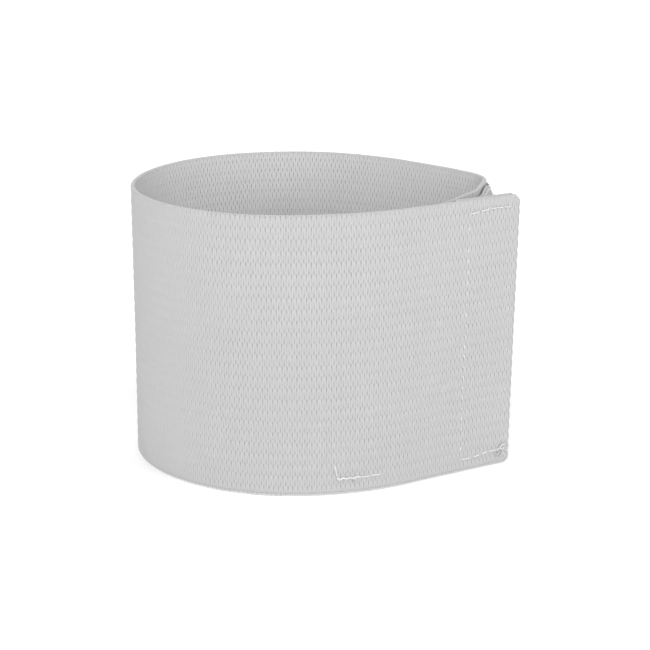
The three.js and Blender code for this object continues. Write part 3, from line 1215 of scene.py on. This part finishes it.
    def _selvedge(self, name: str, start: float, end: float) -> bpy.types.Object:
        """Makes the weft loops that bind both long edges of one length.

        Args:
            name: The piece's name.
            start: Distance at its first end.
            end: Distance at its other end.

        Returns:
            The object.
        """
        p = self.plan
        parts = MeshParts()
        half = p.thickness / 2
        turn = np.linspace(-1, 1, 9) * self.selvedge_turn * math.pi
        stray, stray_step = self.selvedge_stray
        for number in range(int((end - start) / self.selvedge_pitch)):
            at = start + (number + 0.5) * self.selvedge_pitch
            size = half - self.selvedge_inset + stray * math.sin(number * stray_step)
            for top in (False, True):
                along = at + self.selvedge_slant * turn / math.pi * (1 if number % 2 else -1)
                rise = half - size * np.cos(turn)
                height = p.height - rise if top else rise
                depth = half + size * np.sin(turn)
                path = self.walk.place(along, self._rounded(along, height), depth)
                strip = np.stack([along, height, np.ones(len(turn))], 1)
                tube(parts, path, self.selvedge_radius, 5, strip)
        obj = parts.build(name)
        strip = np.concatenate(parts.strip)
        quads, triangles = np.concatenate(parts.quads), np.concatenate(parts.triangles)
        first = np.concatenate([quads[:, 0], triangles[:, 0]])
        # The lower loops take the foot's finish, painted lighter for light bounced off the floor.
        low = (strip[first, 1] < p.height / 2).astype(np.int32)
        obj.data.polygons.foreach_set("material_index", low)
        return obj

    def _spot(self, from_fold: float) -> tuple[float, float, float]:
        """A point on the flap's middle line, for a bending zone's end.

        Args:
            from_fold: Its distance from the flap's end.

        Returns:
            The point in metres.
        """
        at = np.array([self.flat.length - from_fold])
        point = self.flat.place(at, np.array([self.plan.height / 2]), np.array([self.plan.thickness / 2]))
        return tuple(float(v) for v in point[0] * MM)

    def build(self, finishes: Finishes) -> None:
        """Makes and dresses the three lengths and their selvedges, and attaches the loop's length to its
        body.

        Args:
            finishes: The materials.
        """
        flap = self.flat.length
        base_split = flap - self.base_split
        lengths = (
            ("elastic_loop", "band_loop", 0.0, base_split),
            ("elastic_flap_base", "flap_base_band", base_split, self.tip_split),
            ("elastic_flap_tip", "flap_tip_band", self.tip_split, self.walk.length),
        )
        for name, node, start, end in lengths:
            # The inner face of the loop and of the flap's base takes the inside finish, painted lighter to
            # stand in for the light inside the loop.
            inner = finishes.elastic if node == "flap_tip_band" else finishes.lining_painted_lighter
            cloth = dress(self._length(name, start, end), Slot.ELASTIC, finishes.elastic, inner,
                          finishes.selvedge, finishes.foot)
            edge = self._selvedge(name.replace("elastic", "selvedge"), start, end)
            dress(edge, Slot.ELASTIC, finishes.selvedge, finishes.foot)
            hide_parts(node)
            for piece in (cloth, edge):
                self._rig(piece, node)
            self.plan.height * MM

    def _rig(self, piece: bpy.types.Object, node: str) -> None:
        """Attaches a piece of the loop's length to the loop's body; a piece of the flap only has its place
        baked into its mesh.

        Args:
            piece: The piece.
            node: The CAD node that its length stands for.
        """
        if node == "band_loop":
            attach(piece, Body.LOOP.value)
        elif node == "flap_base_band":
            self._spot(self.base_zone[0])
            self._spot(self.base_zone[1])
            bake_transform(piece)
        else:
            self._spot(self.tip_zone[0])
            self._spot(self.tip_zone[1])
            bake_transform(piece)


# ------------------------------------------------------------------ hook and loop patches
@dataclass(frozen=True)
class PatchPlace:
    """Where a patch lies: its ends along the band, the depth of its back, and the side it faces.

    Attributes:
        start: Distance at its first end.
        end: Distance at its other end.
        back: Depth of the face that lies on the band.
        facing: 1 where its pile faces into the loop, -1 where it faces out.
    """

    start: float
    end: float
    back: float
    facing: int


@dataclass
class Patch:
    """A sewn patch of hook or loop tape: its ground, and its hooks or loops.

    Attributes:
        walk: The band's flat way to the fold.
        place: Where the patch lies.
        seam_rows: From the band's edges to the seam's lower and upper rows.
        ground: Thickness of the woven ground.
        seam_inset: From its ends to its seam.
        lane: Half width of the lane that the seam presses clear of pile.
        edge_round: Height over which its edges thin.
        edge_share: Thickness of its edges, as a share of the ground's.
        column_step: Length of one column of faces.
        rows: How many rows of points it has.
        ripple: Height and pitch of the ground's ribs.
        press: How deep the seam presses the ground in, and how wide.
        openness: How open the ground's weave is.
        seam_reach: How far past the seam's corners its lane goes.
        hook_spacing: Between hooks along the band, and between their rows.
        hook_jitter: How far a hook may stray, as a share of the spacing.
        hook_bend: Radius of a hook's bend.
        hook_rise: Height of the bend's middle over the ground.
        hook_radius: Radius of a hook's filament.
        loop_spacing: Between brushed loops along the band, and between their rows.
        loop_jitter: How far a loop may stray, as a share of the spacing.
        loop_width: A loop's least width, and how much wider it may be.
        loop_height: A loop's least height, and how much taller it may be.
        loop_radius: Radius of a loop's filament.
    """

    walk: BandWalk
    place: PatchPlace
    seam_rows: tuple[float, float]
    ground: float = 0.45
    seam_inset: float = 1.2
    lane: float = 0.45
    edge_round: float = 0.12
    edge_share: float = 0.35
    column_step: float = 0.9
    rows: int = 96
    ripple: tuple[float, float] = (0.03, 1.4)
    press: tuple[float, float] = (0.09, 0.4)
    openness: float = 0.6
    seam_reach: float = 0.4
    hook_spacing: tuple[float, float] = (1.15, 1.3)
    hook_jitter: float = 0.15
    hook_bend: float = 0.2
    hook_rise: float = 0.42
    hook_radius: float = 0.075
    loop_spacing: tuple[float, float] = (0.92, 0.95)
    loop_jitter: float = 0.9
    loop_width: tuple[float, float] = (0.5, 0.5)
    loop_height: tuple[float, float] = (0.32, 0.3)
    loop_radius: float = 0.045

    def ground_piece(self, name: str) -> bpy.types.Object:
        """Makes the woven ground as a thin closed sheet with rounded edges.

        Args:
            name: The piece's name.

        Returns:
            The object.
        """
        p = self.walk.plan
        low, high = p.patch_margin, p.height - p.patch_margin
        length = self.place.end - self.place.start
        columns = np.linspace(self.place.start, self.place.end, max(8, round(length / self.column_step)))
        rows = np.linspace(low, high, self.rows)
        half = self.ground / 2
        ring_height = np.concatenate([rows, rows[::-1]])
        side = np.concatenate([-np.ones(len(rows)), np.ones(len(rows))])
        edge = np.minimum(np.minimum(ring_height - low, high - ring_height) / self.edge_round, 1.0)
        size, around = len(columns), len(ring_height)
        distance = np.repeat(columns, around)
        height = np.tile(ring_height, size)
        thick = half * np.tile(side * (self.edge_share + (1 - self.edge_share) * edge), size)
        rise, pitch = self.ripple
        ripple = rise * np.cos(2 * math.pi * height / pitch) * np.tile(side, size)
        deep, wide = self.press
        lane = np.exp(-((self._to_seam(distance, height) / wide) ** 2))
        pressed = deep * lane * np.tile(side > 0, size)
        depth = self.place.back + self.place.facing * (half + thick + ripple - pressed)
        points = self.walk.place(distance, height, depth)
        strip = np.stack([distance, height, np.full(len(distance), self.openness)], 1)
        a = np.arange(len(rows) - 1)
        b = around - 1 - a
        cap = np.stack([a, a + 1, b - 1, b], 1)
        last = (size - 1) * around
        parts = MeshParts()
        parts.add(points, strip, np.concatenate([ring_quads(size, around), cap, cap[:, ::-1] + last]))
        if self.place.facing < 0:
            parts.quads = [q[:, ::-1] for q in parts.quads]
        return parts.build(name)

    def _to_seam(self, distance: np.ndarray, height: np.ndarray) -> np.ndarray:
        """Millimetres from the nearest side of the patch's seam.

        Args:
            distance: Distances along the band.
            height: Heights.

        Returns:
            The nearest side's distance at each place, or a large one outside the seam.
        """
        outside = 9.0
        low, high = self.seam_rows
        top = self.walk.plan.height - high
        start, end = self.place.start + self.seam_inset, self.place.end - self.seam_inset
        beside = np.minimum(np.abs(distance - start), np.abs(distance - end))
        above = np.minimum(np.abs(height - low), np.abs(height - top))
        r = self.seam_reach
        along_it = (distance > start - r) & (distance < end + r)
        up_it = (height > low - r) & (height < top + r)
        return np.where(along_it & up_it, np.minimum(beside, above), outside)

    def _roots(self, spacing: tuple[float, float], jitter: float, seed: int) -> np.ndarray:
        """Roots of the pile in rows, clear of the seam's lane.

        Args:
            spacing: Between roots along the band, and between rows.
            jitter: How far a root may stray, as a share of the spacing.
            seed: The random generator's seed.

        Returns:
            Distance and height of each root.
        """
        first, last = 0.5, 0.4  # from the patch's ends to the pile
        bottom, top = 0.6, 0.5  # from the patch's long edges to the pile
        random = np.random.default_rng(seed)
        p = self.walk.plan
        a = np.arange(self.place.start + first, self.place.end - last, spacing[0])
        b = np.arange(p.patch_margin + bottom, p.height - p.patch_margin - top, spacing[1])
        grid = np.stack(np.meshgrid(a, b, indexing="ij"), -1)
        grid[:, 1::2, 0] += spacing[0] / 2
        grid += (random.random(grid.shape) - 0.5) * np.array(spacing) * jitter
        roots = grid.reshape(-1, 2)
        fits = (roots[:, 0] < self.place.end - last) & (self._to_seam(roots[:, 0], roots[:, 1]) > self.lane)
        return roots[fits]

    def _stand(self, parts: MeshParts, along: np.ndarray, up: np.ndarray, out: np.ndarray,
               radius: float, sides: int) -> None:
        """Adds one yarn that stands on the ground.

        Args:
            parts: The mesh to add to.
            along: Distances of the points on it.
            up: Their heights.
            out: How far they stand off the ground.
            radius: The yarn's radius.
            sides: Points round the yarn.
        """
        depth = self.place.back + self.place.facing * (self.ground + out)
        path = self.walk.place(along, up, depth)
        tube(parts, path, radius, sides, np.stack([along, up, out], 1))

    def hooks_piece(self, name: str, seed: int) -> bpy.types.Object:
        """Makes the rows of cut hooks.

        Args:
            name: The piece's name.
            seed: The random generator's seed.

        Returns:
            The object.
        """
        parts = MeshParts()
        stem = [-0.1, 0.2]  # heights of the stem's points
        turn = np.linspace(0, 1.25 * math.pi, 6)
        bend = self.hook_bend
        out = np.concatenate([stem, self.hook_rise + bend * np.sin(turn)])
        lean = np.concatenate([np.zeros(len(stem)), bend - bend * np.cos(turn)])
        least, spread = 0.92, 0.16  # of a hook's size
        random = np.random.default_rng(seed + 1)
        for distance, height in self._roots(self.hook_spacing, self.hook_jitter, seed):
            way = 1 if random.random() > 0.5 else -1
            size = least + spread * random.random()
            along = np.full(len(lean), distance)
            self._stand(parts, along, height + way * lean * size, out * size, self.hook_radius, 5)
        return parts.build(name)

    def loops_piece(self, name: str, seed: int) -> bpy.types.Object:
        """Makes the brushed loops of fine filament.

        Args:
            name: The piece's name.
            seed: The random generator's seed.

        Returns:
            The object.
        """
        parts = MeshParts()
        turn = np.linspace(0, math.pi, 6)
        root = 0.05  # how deep a loop's feet go into the ground
        lean, rise = 0.5, 0.5  # most lean along the band, and the share of it that goes up
        least_width, more_width = self.loop_width
        least_height, more_height = self.loop_height
        random = np.random.default_rng(seed + 1)
        for distance, height in self._roots(self.loop_spacing, self.loop_jitter, seed):
            way = random.random() * 2 * math.pi
            width = least_width + more_width * random.random()
            tall = least_height + more_height * random.random()
            skew = (random.random() - 0.5) * lean
            step = -np.cos(turn) * width / 2
            out = np.sin(turn) * tall - root
            along = distance + step * math.cos(way) + skew * np.sin(turn)
            up = height + step * math.sin(way) + skew * rise * np.sin(turn)
            self._stand(parts, along, up, out, self.loop_radius, 4)
        return parts.build(name)


# ------------------------------------------------------------------ seams
@dataclass(frozen=True)
class StitchRun:
    """A straight row of stitches.

    Attributes:
        start: Distance and height of its first needle hole.
        end: Distance and height of its last needle hole.
        shown: Share of each stitch that lies on the cloth, the rest being drawn into the hole.
        slant: How far each stitch's ends lie aside of the row.
        sink: How far the row is pulled down into the weave.
        pitch: Length of a stitch.
    """

    start: tuple[float, float]
    end: tuple[float, float]
    shown: float = 0.8
    slant: float = 0.0
    sink: float = 0.0
    pitch: float = 2.7


@dataclass
class Seam:
    """One thread of a seam, as its separate stitches.

    Attributes:
        walk: The band's flat way to the fold.
        depth: Depth of the cloth face it lies on.
        facing: 1 where it lies on the side that faces into the loop, -1 on the outer side.
        runs: Its rows of stitches.
        radius: The thread's radius.
        dive: How deep a stitch's ends go into the cloth.
        proud: How far a stitch's middle stands off the cloth.
        flatness: How long a stitch lies level before its ends dive.
        side_stray: How far a stitch may lie aside.
        size_stray: The least share of its length and of its sinking, and how much more there may be.
        plies: How far the thread's plies stand out, as a share of its radius.
        lay: Length of one turn of the plies.
        fibre: Radius of a frayed fibre.
    """

    walk: BandWalk
    depth: float
    facing: int
    runs: list[StitchRun]
    radius: float = 0.165
    dive: float = 0.5
    proud: float = 0.04
    flatness: float = 3.5
    side_stray: float = 0.12
    size_stray: tuple[tuple[float, float], tuple[float, float]] = ((0.92, 0.16), (0.6, 0.8))
    plies: float = 0.16
    lay: float = 1.1
    fibre: float = 0.055

    def _lay(self, parts: MeshParts, along: np.ndarray, up: np.ndarray, out: np.ndarray,
             radius: float, twist: float, sides: int = 8) -> None:
        """Adds a piece of thread at heights off the cloth's face."""
        path = self.walk.place(along, up, self.depth + self.facing * out)
        tube(parts, path, radius, sides, np.stack([along, up, out], 1), self.plies, twist)

    def stitches(self, parts: MeshParts, seed: int) -> None:
        """Adds every stitch of every row.

        Args:
            parts: The mesh to add to.
            seed: The random generator's seed.
        """
        (least_reach, more_reach), (least_sink, more_sink) = self.size_stray
        rise = self.radius + self.proud + self.dive
        share = np.linspace(-1, 1, 11)
        arch = (1 - np.abs(share) ** self.flatness) * rise - self.dive
        random = np.random.default_rng(seed)
        for run in self.runs:
            start, end = np.array(run.start), np.array(run.end)
            length = float(np.hypot(*(end - start)))
            count = max(1, round(length / run.pitch))
            way = (end - start) / length
            across = np.array([-way[1], way[0]])
            for number in range(count):
                middle = start + way * length * (number + 0.5) / count
                middle = middle + across * (random.random() - 0.5) * self.side_stray
                reach = length / count * run.shown / 2 * (least_reach + more_reach * random.random())
                line = middle + share[:, None] * (way * reach + across * run.slant)
                out = arch - run.sink * (least_sink + more_sink * random.random())
                self._lay(parts, line[:, 0], line[:, 1], out, self.radius, reach * 2 / self.lay)

    def tail(self, parts: MeshParts, points: list[tuple[float, float, float]], radius: float) -> None:
        """Adds a loose end.

        Args:
            parts: The mesh to add to.
            points: Distance, height and distance off the cloth of points on it.
            radius: The thread's radius.
        """
        finer, rounds, turns = 6, 3, 0.8  # points and turns for each mark, and rounds of smoothing
        marks = np.array(points)
        share = np.linspace(0, 1, len(marks))
        fine = np.linspace(0, 1, finer * len(marks))
        soft = [np.interp(fine, share, column) for column in marks.T]
        window = np.array([0.25, 0.5, 0.25])
        for _ in range(rounds):
            soft = [np.concatenate([c[:1], np.convolve(c, window, "valid"), c[-1:]]) for c in soft]
        self._lay(parts, soft[0], soft[1], soft[2], radius, len(marks) * turns)

    def fray(self, parts: MeshParts, centre: tuple[float, float], spread: float, count: int,
             seed: int) -> None:
        """Adds a tuft of fine fibres where the thread has frayed.

        Args:
            parts: The mesh to add to.
            centre: Distance and height of the tuft's root.
            spread: How far its fibres reach.
            count: How many fibres it has.
            seed: The random generator's seed.
        """
        steps = 8
        most_bend, least_reach, root_stray = 2.2, 0.4, 0.5
        root_rise, bow, bow_turn, end_rise = 0.05, 0.5, 0.8, 0.15
        share = np.linspace(0, 1, steps)
        random = np.random.default_rng(seed)
        for _ in range(count):
            way = random.random() * 2 * math.pi
            bend = (random.random() - 0.5) * most_bend
            reach = spread * (least_reach + (1 - least_reach) * random.random())
            angle = way + bend * share
            run, climb = np.cumsum(np.cos(angle)) / steps, np.cumsum(np.sin(angle)) / steps
            along = centre[0] + run * reach + (random.random() - 0.5) * root_stray
            up = centre[1] + climb * reach + (random.random() - 0.5) * root_stray
            bowed = np.sin(share * math.pi * bow_turn) * bow * random.random()
            self._lay(parts, along, up, root_rise + bowed + end_rise * share, self.fibre, 1.0, 5)


def box_runs(start: float, end: float, low: float, high: float, sink: float = 0.0) -> list[StitchRun]:
    """The four rows of a rectangle of even stitches.

    Args:
        start: Distance at its first side.
        end: Distance at its other side.
        low: Height of its lower row.
        high: Height of its upper row.
        sink: How far it is pulled into the cloth.

    Returns:
        The rows.
    """
    shown, slant = 0.82, 0.04
    corners = [(start, low), (start, high), (end, high), (end, low), (start, low)]
    return [StitchRun(a, b, shown, slant, sink) for a, b in zip(corners, corners[1:])]


@dataclass
class Fastening:
    """The hook patches, the loop patch and their seams.

    Attributes:
        walk: The band's flat way to the fold.
        flap_rows: From the band's edges to the lower and upper rows of the flap's seams.
        loop_rows: The same for the underlap's seam.
        inset: From a patch's ends to its seam.
        hem_slack: How far the tip patch stands off the hem.
        loop_ground: Thickness of the loop tape's ground.
        loop_lane: Half width of the lane that its seam presses clear of pile.
        loop_sink: How far its seam's outer stitches are pulled into the pile.
        hidden_sink: How far the base seam's hidden stitches are pulled into the flap.
        top_pitch: Length of the stitches in the tip seam's upper row.
    """

    walk: BandWalk
    flap_rows: tuple[float, float] = (4.0, 3.0)
    loop_rows: tuple[float, float] = (2.8, 2.4)
    inset: float = 1.2
    hem_slack: float = 0.1
    loop_ground: float = 0.5
    loop_lane: float = 0.3
    loop_sink: float = 0.2
    hidden_sink: float = 0.95
    top_pitch: float = 2.25

    def _patches(self) -> dict[str, Patch]:
        """Places the patches.

        Returns:
            Each patch by its name.
        """
        p = self.walk.plan
        flap = self.walk.length
        tip = PatchPlace(flap - p.tip_patch_edge - p.tip_patch_width, flap - p.tip_patch_edge,
                         p.tip_patch_depth + self.hem_slack, 1)
        base = PatchPlace(flap - p.base_patch_edge - p.base_patch_width, flap - p.base_patch_edge,
                          p.base_patch_depth, 1)
        loop = PatchPlace(p.loop_patch_edge, p.loop_patch_edge + p.loop_patch_length,
                          -p.cloth_gap, -1)
        return {
            "tip_hook": Patch(self.walk, tip, self.flap_rows),
            "base_hook": Patch(self.walk, base, self.flap_rows),
            "underlap_loop": Patch(self.walk, loop, self.loop_rows, ground=self.loop_ground,
                                   lane=self.loop_lane),
        }

    def _corner(self, patch: Patch) -> tuple[float, float, float, float]:
        """The seam's first and last distance, and its lower and upper row, on a flap patch."""
        low, high = self.flap_rows
        return patch.place.start + self.inset, patch.place.end - self.inset, low, self.walk.plan.height - high

    def _tip_needle(self, patch: Patch) -> bpy.types.Object:
        """The tip seam on the flap's outer face, with its frayed lower corner.

        Args:
            patch: The tip patch.

        Returns:
            The object.
        """
        start, end, low, high = self._corner(patch)
        peak = (start + 5.9, high + 0.5)
        seam = Seam(self.walk, 0.0, -1, [
            StitchRun((start + 0.5, high - 0.2), peak, shown=1.0, sink=0.03, pitch=self.top_pitch),
            StitchRun(peak, (start + 11.6, high + 0.25), shown=1.0, sink=0.03, pitch=self.top_pitch),
            StitchRun((start + 0.3, high - 2.5), (start, low + 1.2), shown=0.46, slant=0.16, sink=0.27),
            StitchRun((end + 0.1, high - 3.0), (end + 0.1, low + 1.5), shown=0.36, slant=0.1, sink=0.42),
            StitchRun((start - 0.3, low - 0.35), (start + 3.4, low - 0.5), shown=0.86, sink=0.1),
            StitchRun((start + 3.6, low - 0.45), (start + 8.3, low + 0.35), shown=0.9, sink=0.06),
            StitchRun((start + 8.2, low + 0.3), (end + 1.0, low + 0.2), shown=1.02, slant=0.05),
        ])
        parts = MeshParts()
        seam.stitches(parts, 11)
        seam.tail(parts, [(end - 2.0, low + 0.1, 0.15), (end - 0.9, low + 0.6, 0.35),
                          (end, low + 1.6, 0.3), (end + 0.6, low + 1.2, 0.25)], radius=0.17)
        seam.fray(parts, (end + 0.2, low - 0.2), spread=2.2, count=22, seed=21)
        seam.fray(parts, (end - 1.0, low - 0.9), spread=1.7, count=14, seed=22)
        return parts.build("tip_hook_seam_outside")

    def _base_needle(self, patch: Patch) -> bpy.types.Object:
        """The base seam on the flap's outer face: only its backtacked lower corner lies proud.

        Args:
            patch: The base patch.

        Returns:
            The object.
        """
        start, end, low, high = self._corner(patch)
        sunk = self.hidden_sink
        seam = Seam(self.walk, 0.0, -1, [
            StitchRun((start - 0.3, low + 4.0), (start + 0.3, low + 0.7), shown=1.0, sink=0.04),
            StitchRun((start + 5.6, low + 0.3), (start + 11.5, low + 0.3), shown=1.16),
            StitchRun((start, low + 3.0), (start, high), shown=0.4, slant=0.05, sink=sunk),
            StitchRun((start, high), (end, high), shown=0.7, sink=sunk),
            StitchRun((end, high), (end, low), shown=0.4, slant=0.05, sink=sunk),
        ])
        backtack = ((0.2, 0.6, 0.1), (1.0, 0.1, 0.26), (1.7, 0.6, 0.24), (2.5, 0.2, 0.3),
                    (3.3, 0.5, 0.24), (4.2, 0.2, 0.28), (5.0, 0.5, 0.24), (6.0, 0.3, 0.14))
        loose_end = ((4.6, 0.2, 0.2), (5.2, -0.4, 0.3), (4.8, -0.9, 0.2))
        parts = MeshParts()
        seam.stitches(parts, 12)
        for marks, radius in ((backtack, 0.24), (loose_end, 0.16)):
            seam.tail(parts, [(start + x, low + y, out) for x, y, out in marks], radius)
        seam.fray(parts, (start + 5.0, low - 0.1), spread=1.2, count=14, seed=31)
        seam.fray(parts, (start + 0.7, low + 0.1), spread=0.9, count=9, seed=32)
        return parts.build("base_hook_seam_outside")

    def _plain_seam(self, name: str, patch: Patch, rows: tuple[float, float], depth: float,
                    facing: int, seed: int, sink: float = 0.02) -> bpy.types.Object:
        """An even rectangle of stitches.

        Args:
            name: The piece's name.
            patch: The patch it holds.
            rows: From the band's edges to its lower and upper rows.
            depth: Depth of the face it lies on.
            facing: 1 on a face towards the inside of the loop, -1 on an outer one.
            seed: The random generator's seed.
            sink: How far the stitches are pulled into the cloth.

        Returns:
            The object.
        """
        start, end = patch.place.start + self.inset, patch.place.end - self.inset
        runs = box_runs(start, end, rows[0], self.walk.plan.height - rows[1], sink)
        parts = MeshParts()
        Seam(self.walk, depth, facing, runs).stitches(parts, seed)
        return parts.build(name)

    def build(self, finishes: Finishes) -> None:
        """Makes, dresses and rigs every patch and seam.

        Args:
            finishes: The materials.
        """
        p = self.walk.plan
        patches = self._patches()
        for seed, (name, patch) in enumerate(patches.items(), start=40):
            is_hook = name.endswith("hook")
            body = {"tip_hook": Body.FLAP_TIP, "base_hook": Body.FLAP_BASE}.get(name, Body.LOOP)
            slot = Slot.HOOK if is_hook else Slot.LOOP
            ground = patch.ground_piece(f"{name}_tape")
            dress(ground, slot, finishes.hook_ground if is_hook else finishes.loop_ground)
            if is_hook:
                pile = dress(patch.hooks_piece(f"{name}_hooks", seed), slot, finishes.hooks)
            else:
                pile = dress(patch.loops_piece(f"{name}_pile", seed), slot, finishes.pile)
            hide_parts(f"{name}_patch")
            on_ground = patch.place.back + patch.place.facing * patch.ground
            outside, inside = f"{name}_seam_outside", f"{name}_seam_inside"
            if name == "tip_hook":
                needle = self._tip_needle(patch)
                bobbin = self._plain_seam(inside, patch, self.flap_rows, on_ground, 1, 51)
            elif name == "base_hook":
                needle = self._base_needle(patch)
                bobbin = self._plain_seam(inside, patch, self.flap_rows, on_ground, 1, 52)
            else:
                needle = self._plain_seam(outside, patch, self.loop_rows, on_ground, -1, 53, self.loop_sink)
                bobbin = self._plain_seam(inside, patch, self.loop_rows, p.thickness, 1, 54)
            for thread, node in ((needle, "needle"), (bobbin, "bobbin")):
                dress(thread, Slot.THREAD, finishes.thread)
                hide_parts(f"{name}_{node}_thread")
            for piece in (ground, pile, needle, bobbin):
                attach(piece, body.value)


# ------------------------------------------------------------------ floor, light and camera
@dataclass(frozen=True)
class Lamp:
    """A square soft lamp that looks at the band's middle.

    Attributes:
        name: The lamp's name.
        place: Its place, in metres.
        size: Its side, in metres.
        power: Its power, in watts.
    """

    name: str
    place: tuple[float, float, float]
    size: float
    power: float


@dataclass
class Studio:
    """A plain white floor, soft light from all sides, and the camera.

    Attributes:
        floor_reach: Half the floor's side, in metres.
        floor_white: The floor's brightness.
        sky: Strength of the even white light from all round.
        lamps: The soft lamps.
        aim: The place that the lamps look at, in metres.
        sensor: The camera's sensor width, in millimetres.
        lens: The lens's focal length, in millimetres.
        near: The nearest distance that the camera sees, in metres.
        eye: The camera's place, in metres.
        pitch: How far the camera is turned up from straight down, in degrees.
    """

    floor_reach: float = 6.0
    floor_white: float = 0.95
    sky: float = 0.42
    lamps: tuple[Lamp, ...] = (
        Lamp("front softbox", (-0.1, -1.4, 0.58), 1.3, 20.5),
        Lamp("left softbox", (-1.2, -0.5, 0.8), 0.9, 9.5),
        Lamp("right softbox", (1.2, -0.5, 0.8), 0.9, 13.0),
        Lamp("back softbox", (0.0, 1.5, 1.1), 1.2, 14.0),
    )
    aim: tuple[float, float, float] = (0.0, 0.0, 0.035)
    sensor: float = 36.0
    lens: float = 83.08
    near: float = 0.01
    eye: tuple[float, float, float] = (0.00105, -0.3617, 0.15842)
    pitch: float = 70.77

    def floor(self) -> None:
        """Lays the floor."""
        mesh = bpy.data.meshes.new("floor")
        r = self.floor_reach
        mesh.from_pydata([(-r, -r, 0), (r, -r, 0), (r, r, 0), (-r, r, 0)], [], [(0, 1, 2, 3)])
        obj = bpy.data.objects.new("floor", mesh)
        bpy.context.scene.collection.objects.link(obj)
        white = bpy.data.materials.new("white floor")
        white.use_nodes = True
        shader = white.node_tree.nodes["Principled BSDF"]
        shader.inputs["Base Color"].default_value = (self.floor_white,) * 3 + (1.0,)
        shader.inputs["Roughness"].default_value = 1.0
        shader.inputs["Specular IOR Level"].default_value = 0.0
        mesh.materials.append(white)

    def hang(self, lamp: Lamp) -> None:
        """Hangs a lamp.

        Args:
            lamp: The lamp.
        """
        data = bpy.data.lights.new(lamp.name, "AREA")
        data.shape = "SQUARE"
        data.size = lamp.size
        data.energy = lamp.power
        obj = bpy.data.objects.new(lamp.name, data)
        bpy.context.scene.collection.objects.link(obj)
        obj.location = lamp.place
        obj.rotation_euler = (Vector(self.aim) - obj.location).to_track_quat("-Z", "Y").to_euler()

    def build(self) -> None:
        """Sets up the floor, the light and the camera."""
        self.floor()
        scene = bpy.context.scene
        scene.view_settings.view_transform = "Standard"
        world = bpy.data.worlds.new("soft white")
        world.use_nodes = True
        back = world.node_tree.nodes["Background"]
        back.inputs["Color"].default_value = (1.0, 1.0, 1.0, 1.0)
        back.inputs["Strength"].default_value = self.sky
        scene.world = world
        for lamp in self.lamps:
            self.hang(lamp)
        camera = bpy.data.objects.new("camera", bpy.data.cameras.new("camera"))
        scene.collection.objects.link(camera)
        camera.data.sensor_width = self.sensor
        camera.data.lens = self.lens
        camera.data.clip_start = self.near
        camera.location = self.eye
        camera.rotation_euler = (math.radians(self.pitch), 0.0, 0.0)
        scene.camera = camera
        log.info("studio: floor, four soft lamps, camera")


def main() -> None:
    """Builds the band in order: webbing, patches and seams, then the studio."""
    plan, slump = BandPlan(), Slump()
    finishes = Finishes()
    over_fold = BandWalk(plan, slump, hemmed=True)
    to_fold = BandWalk(plan, slump, hemmed=False)
    Webbing(over_fold, to_fold).build(finishes)
    Fastening(to_fold).build(finishes)
    Studio().build()


if __name__ == "__main__":
    main()
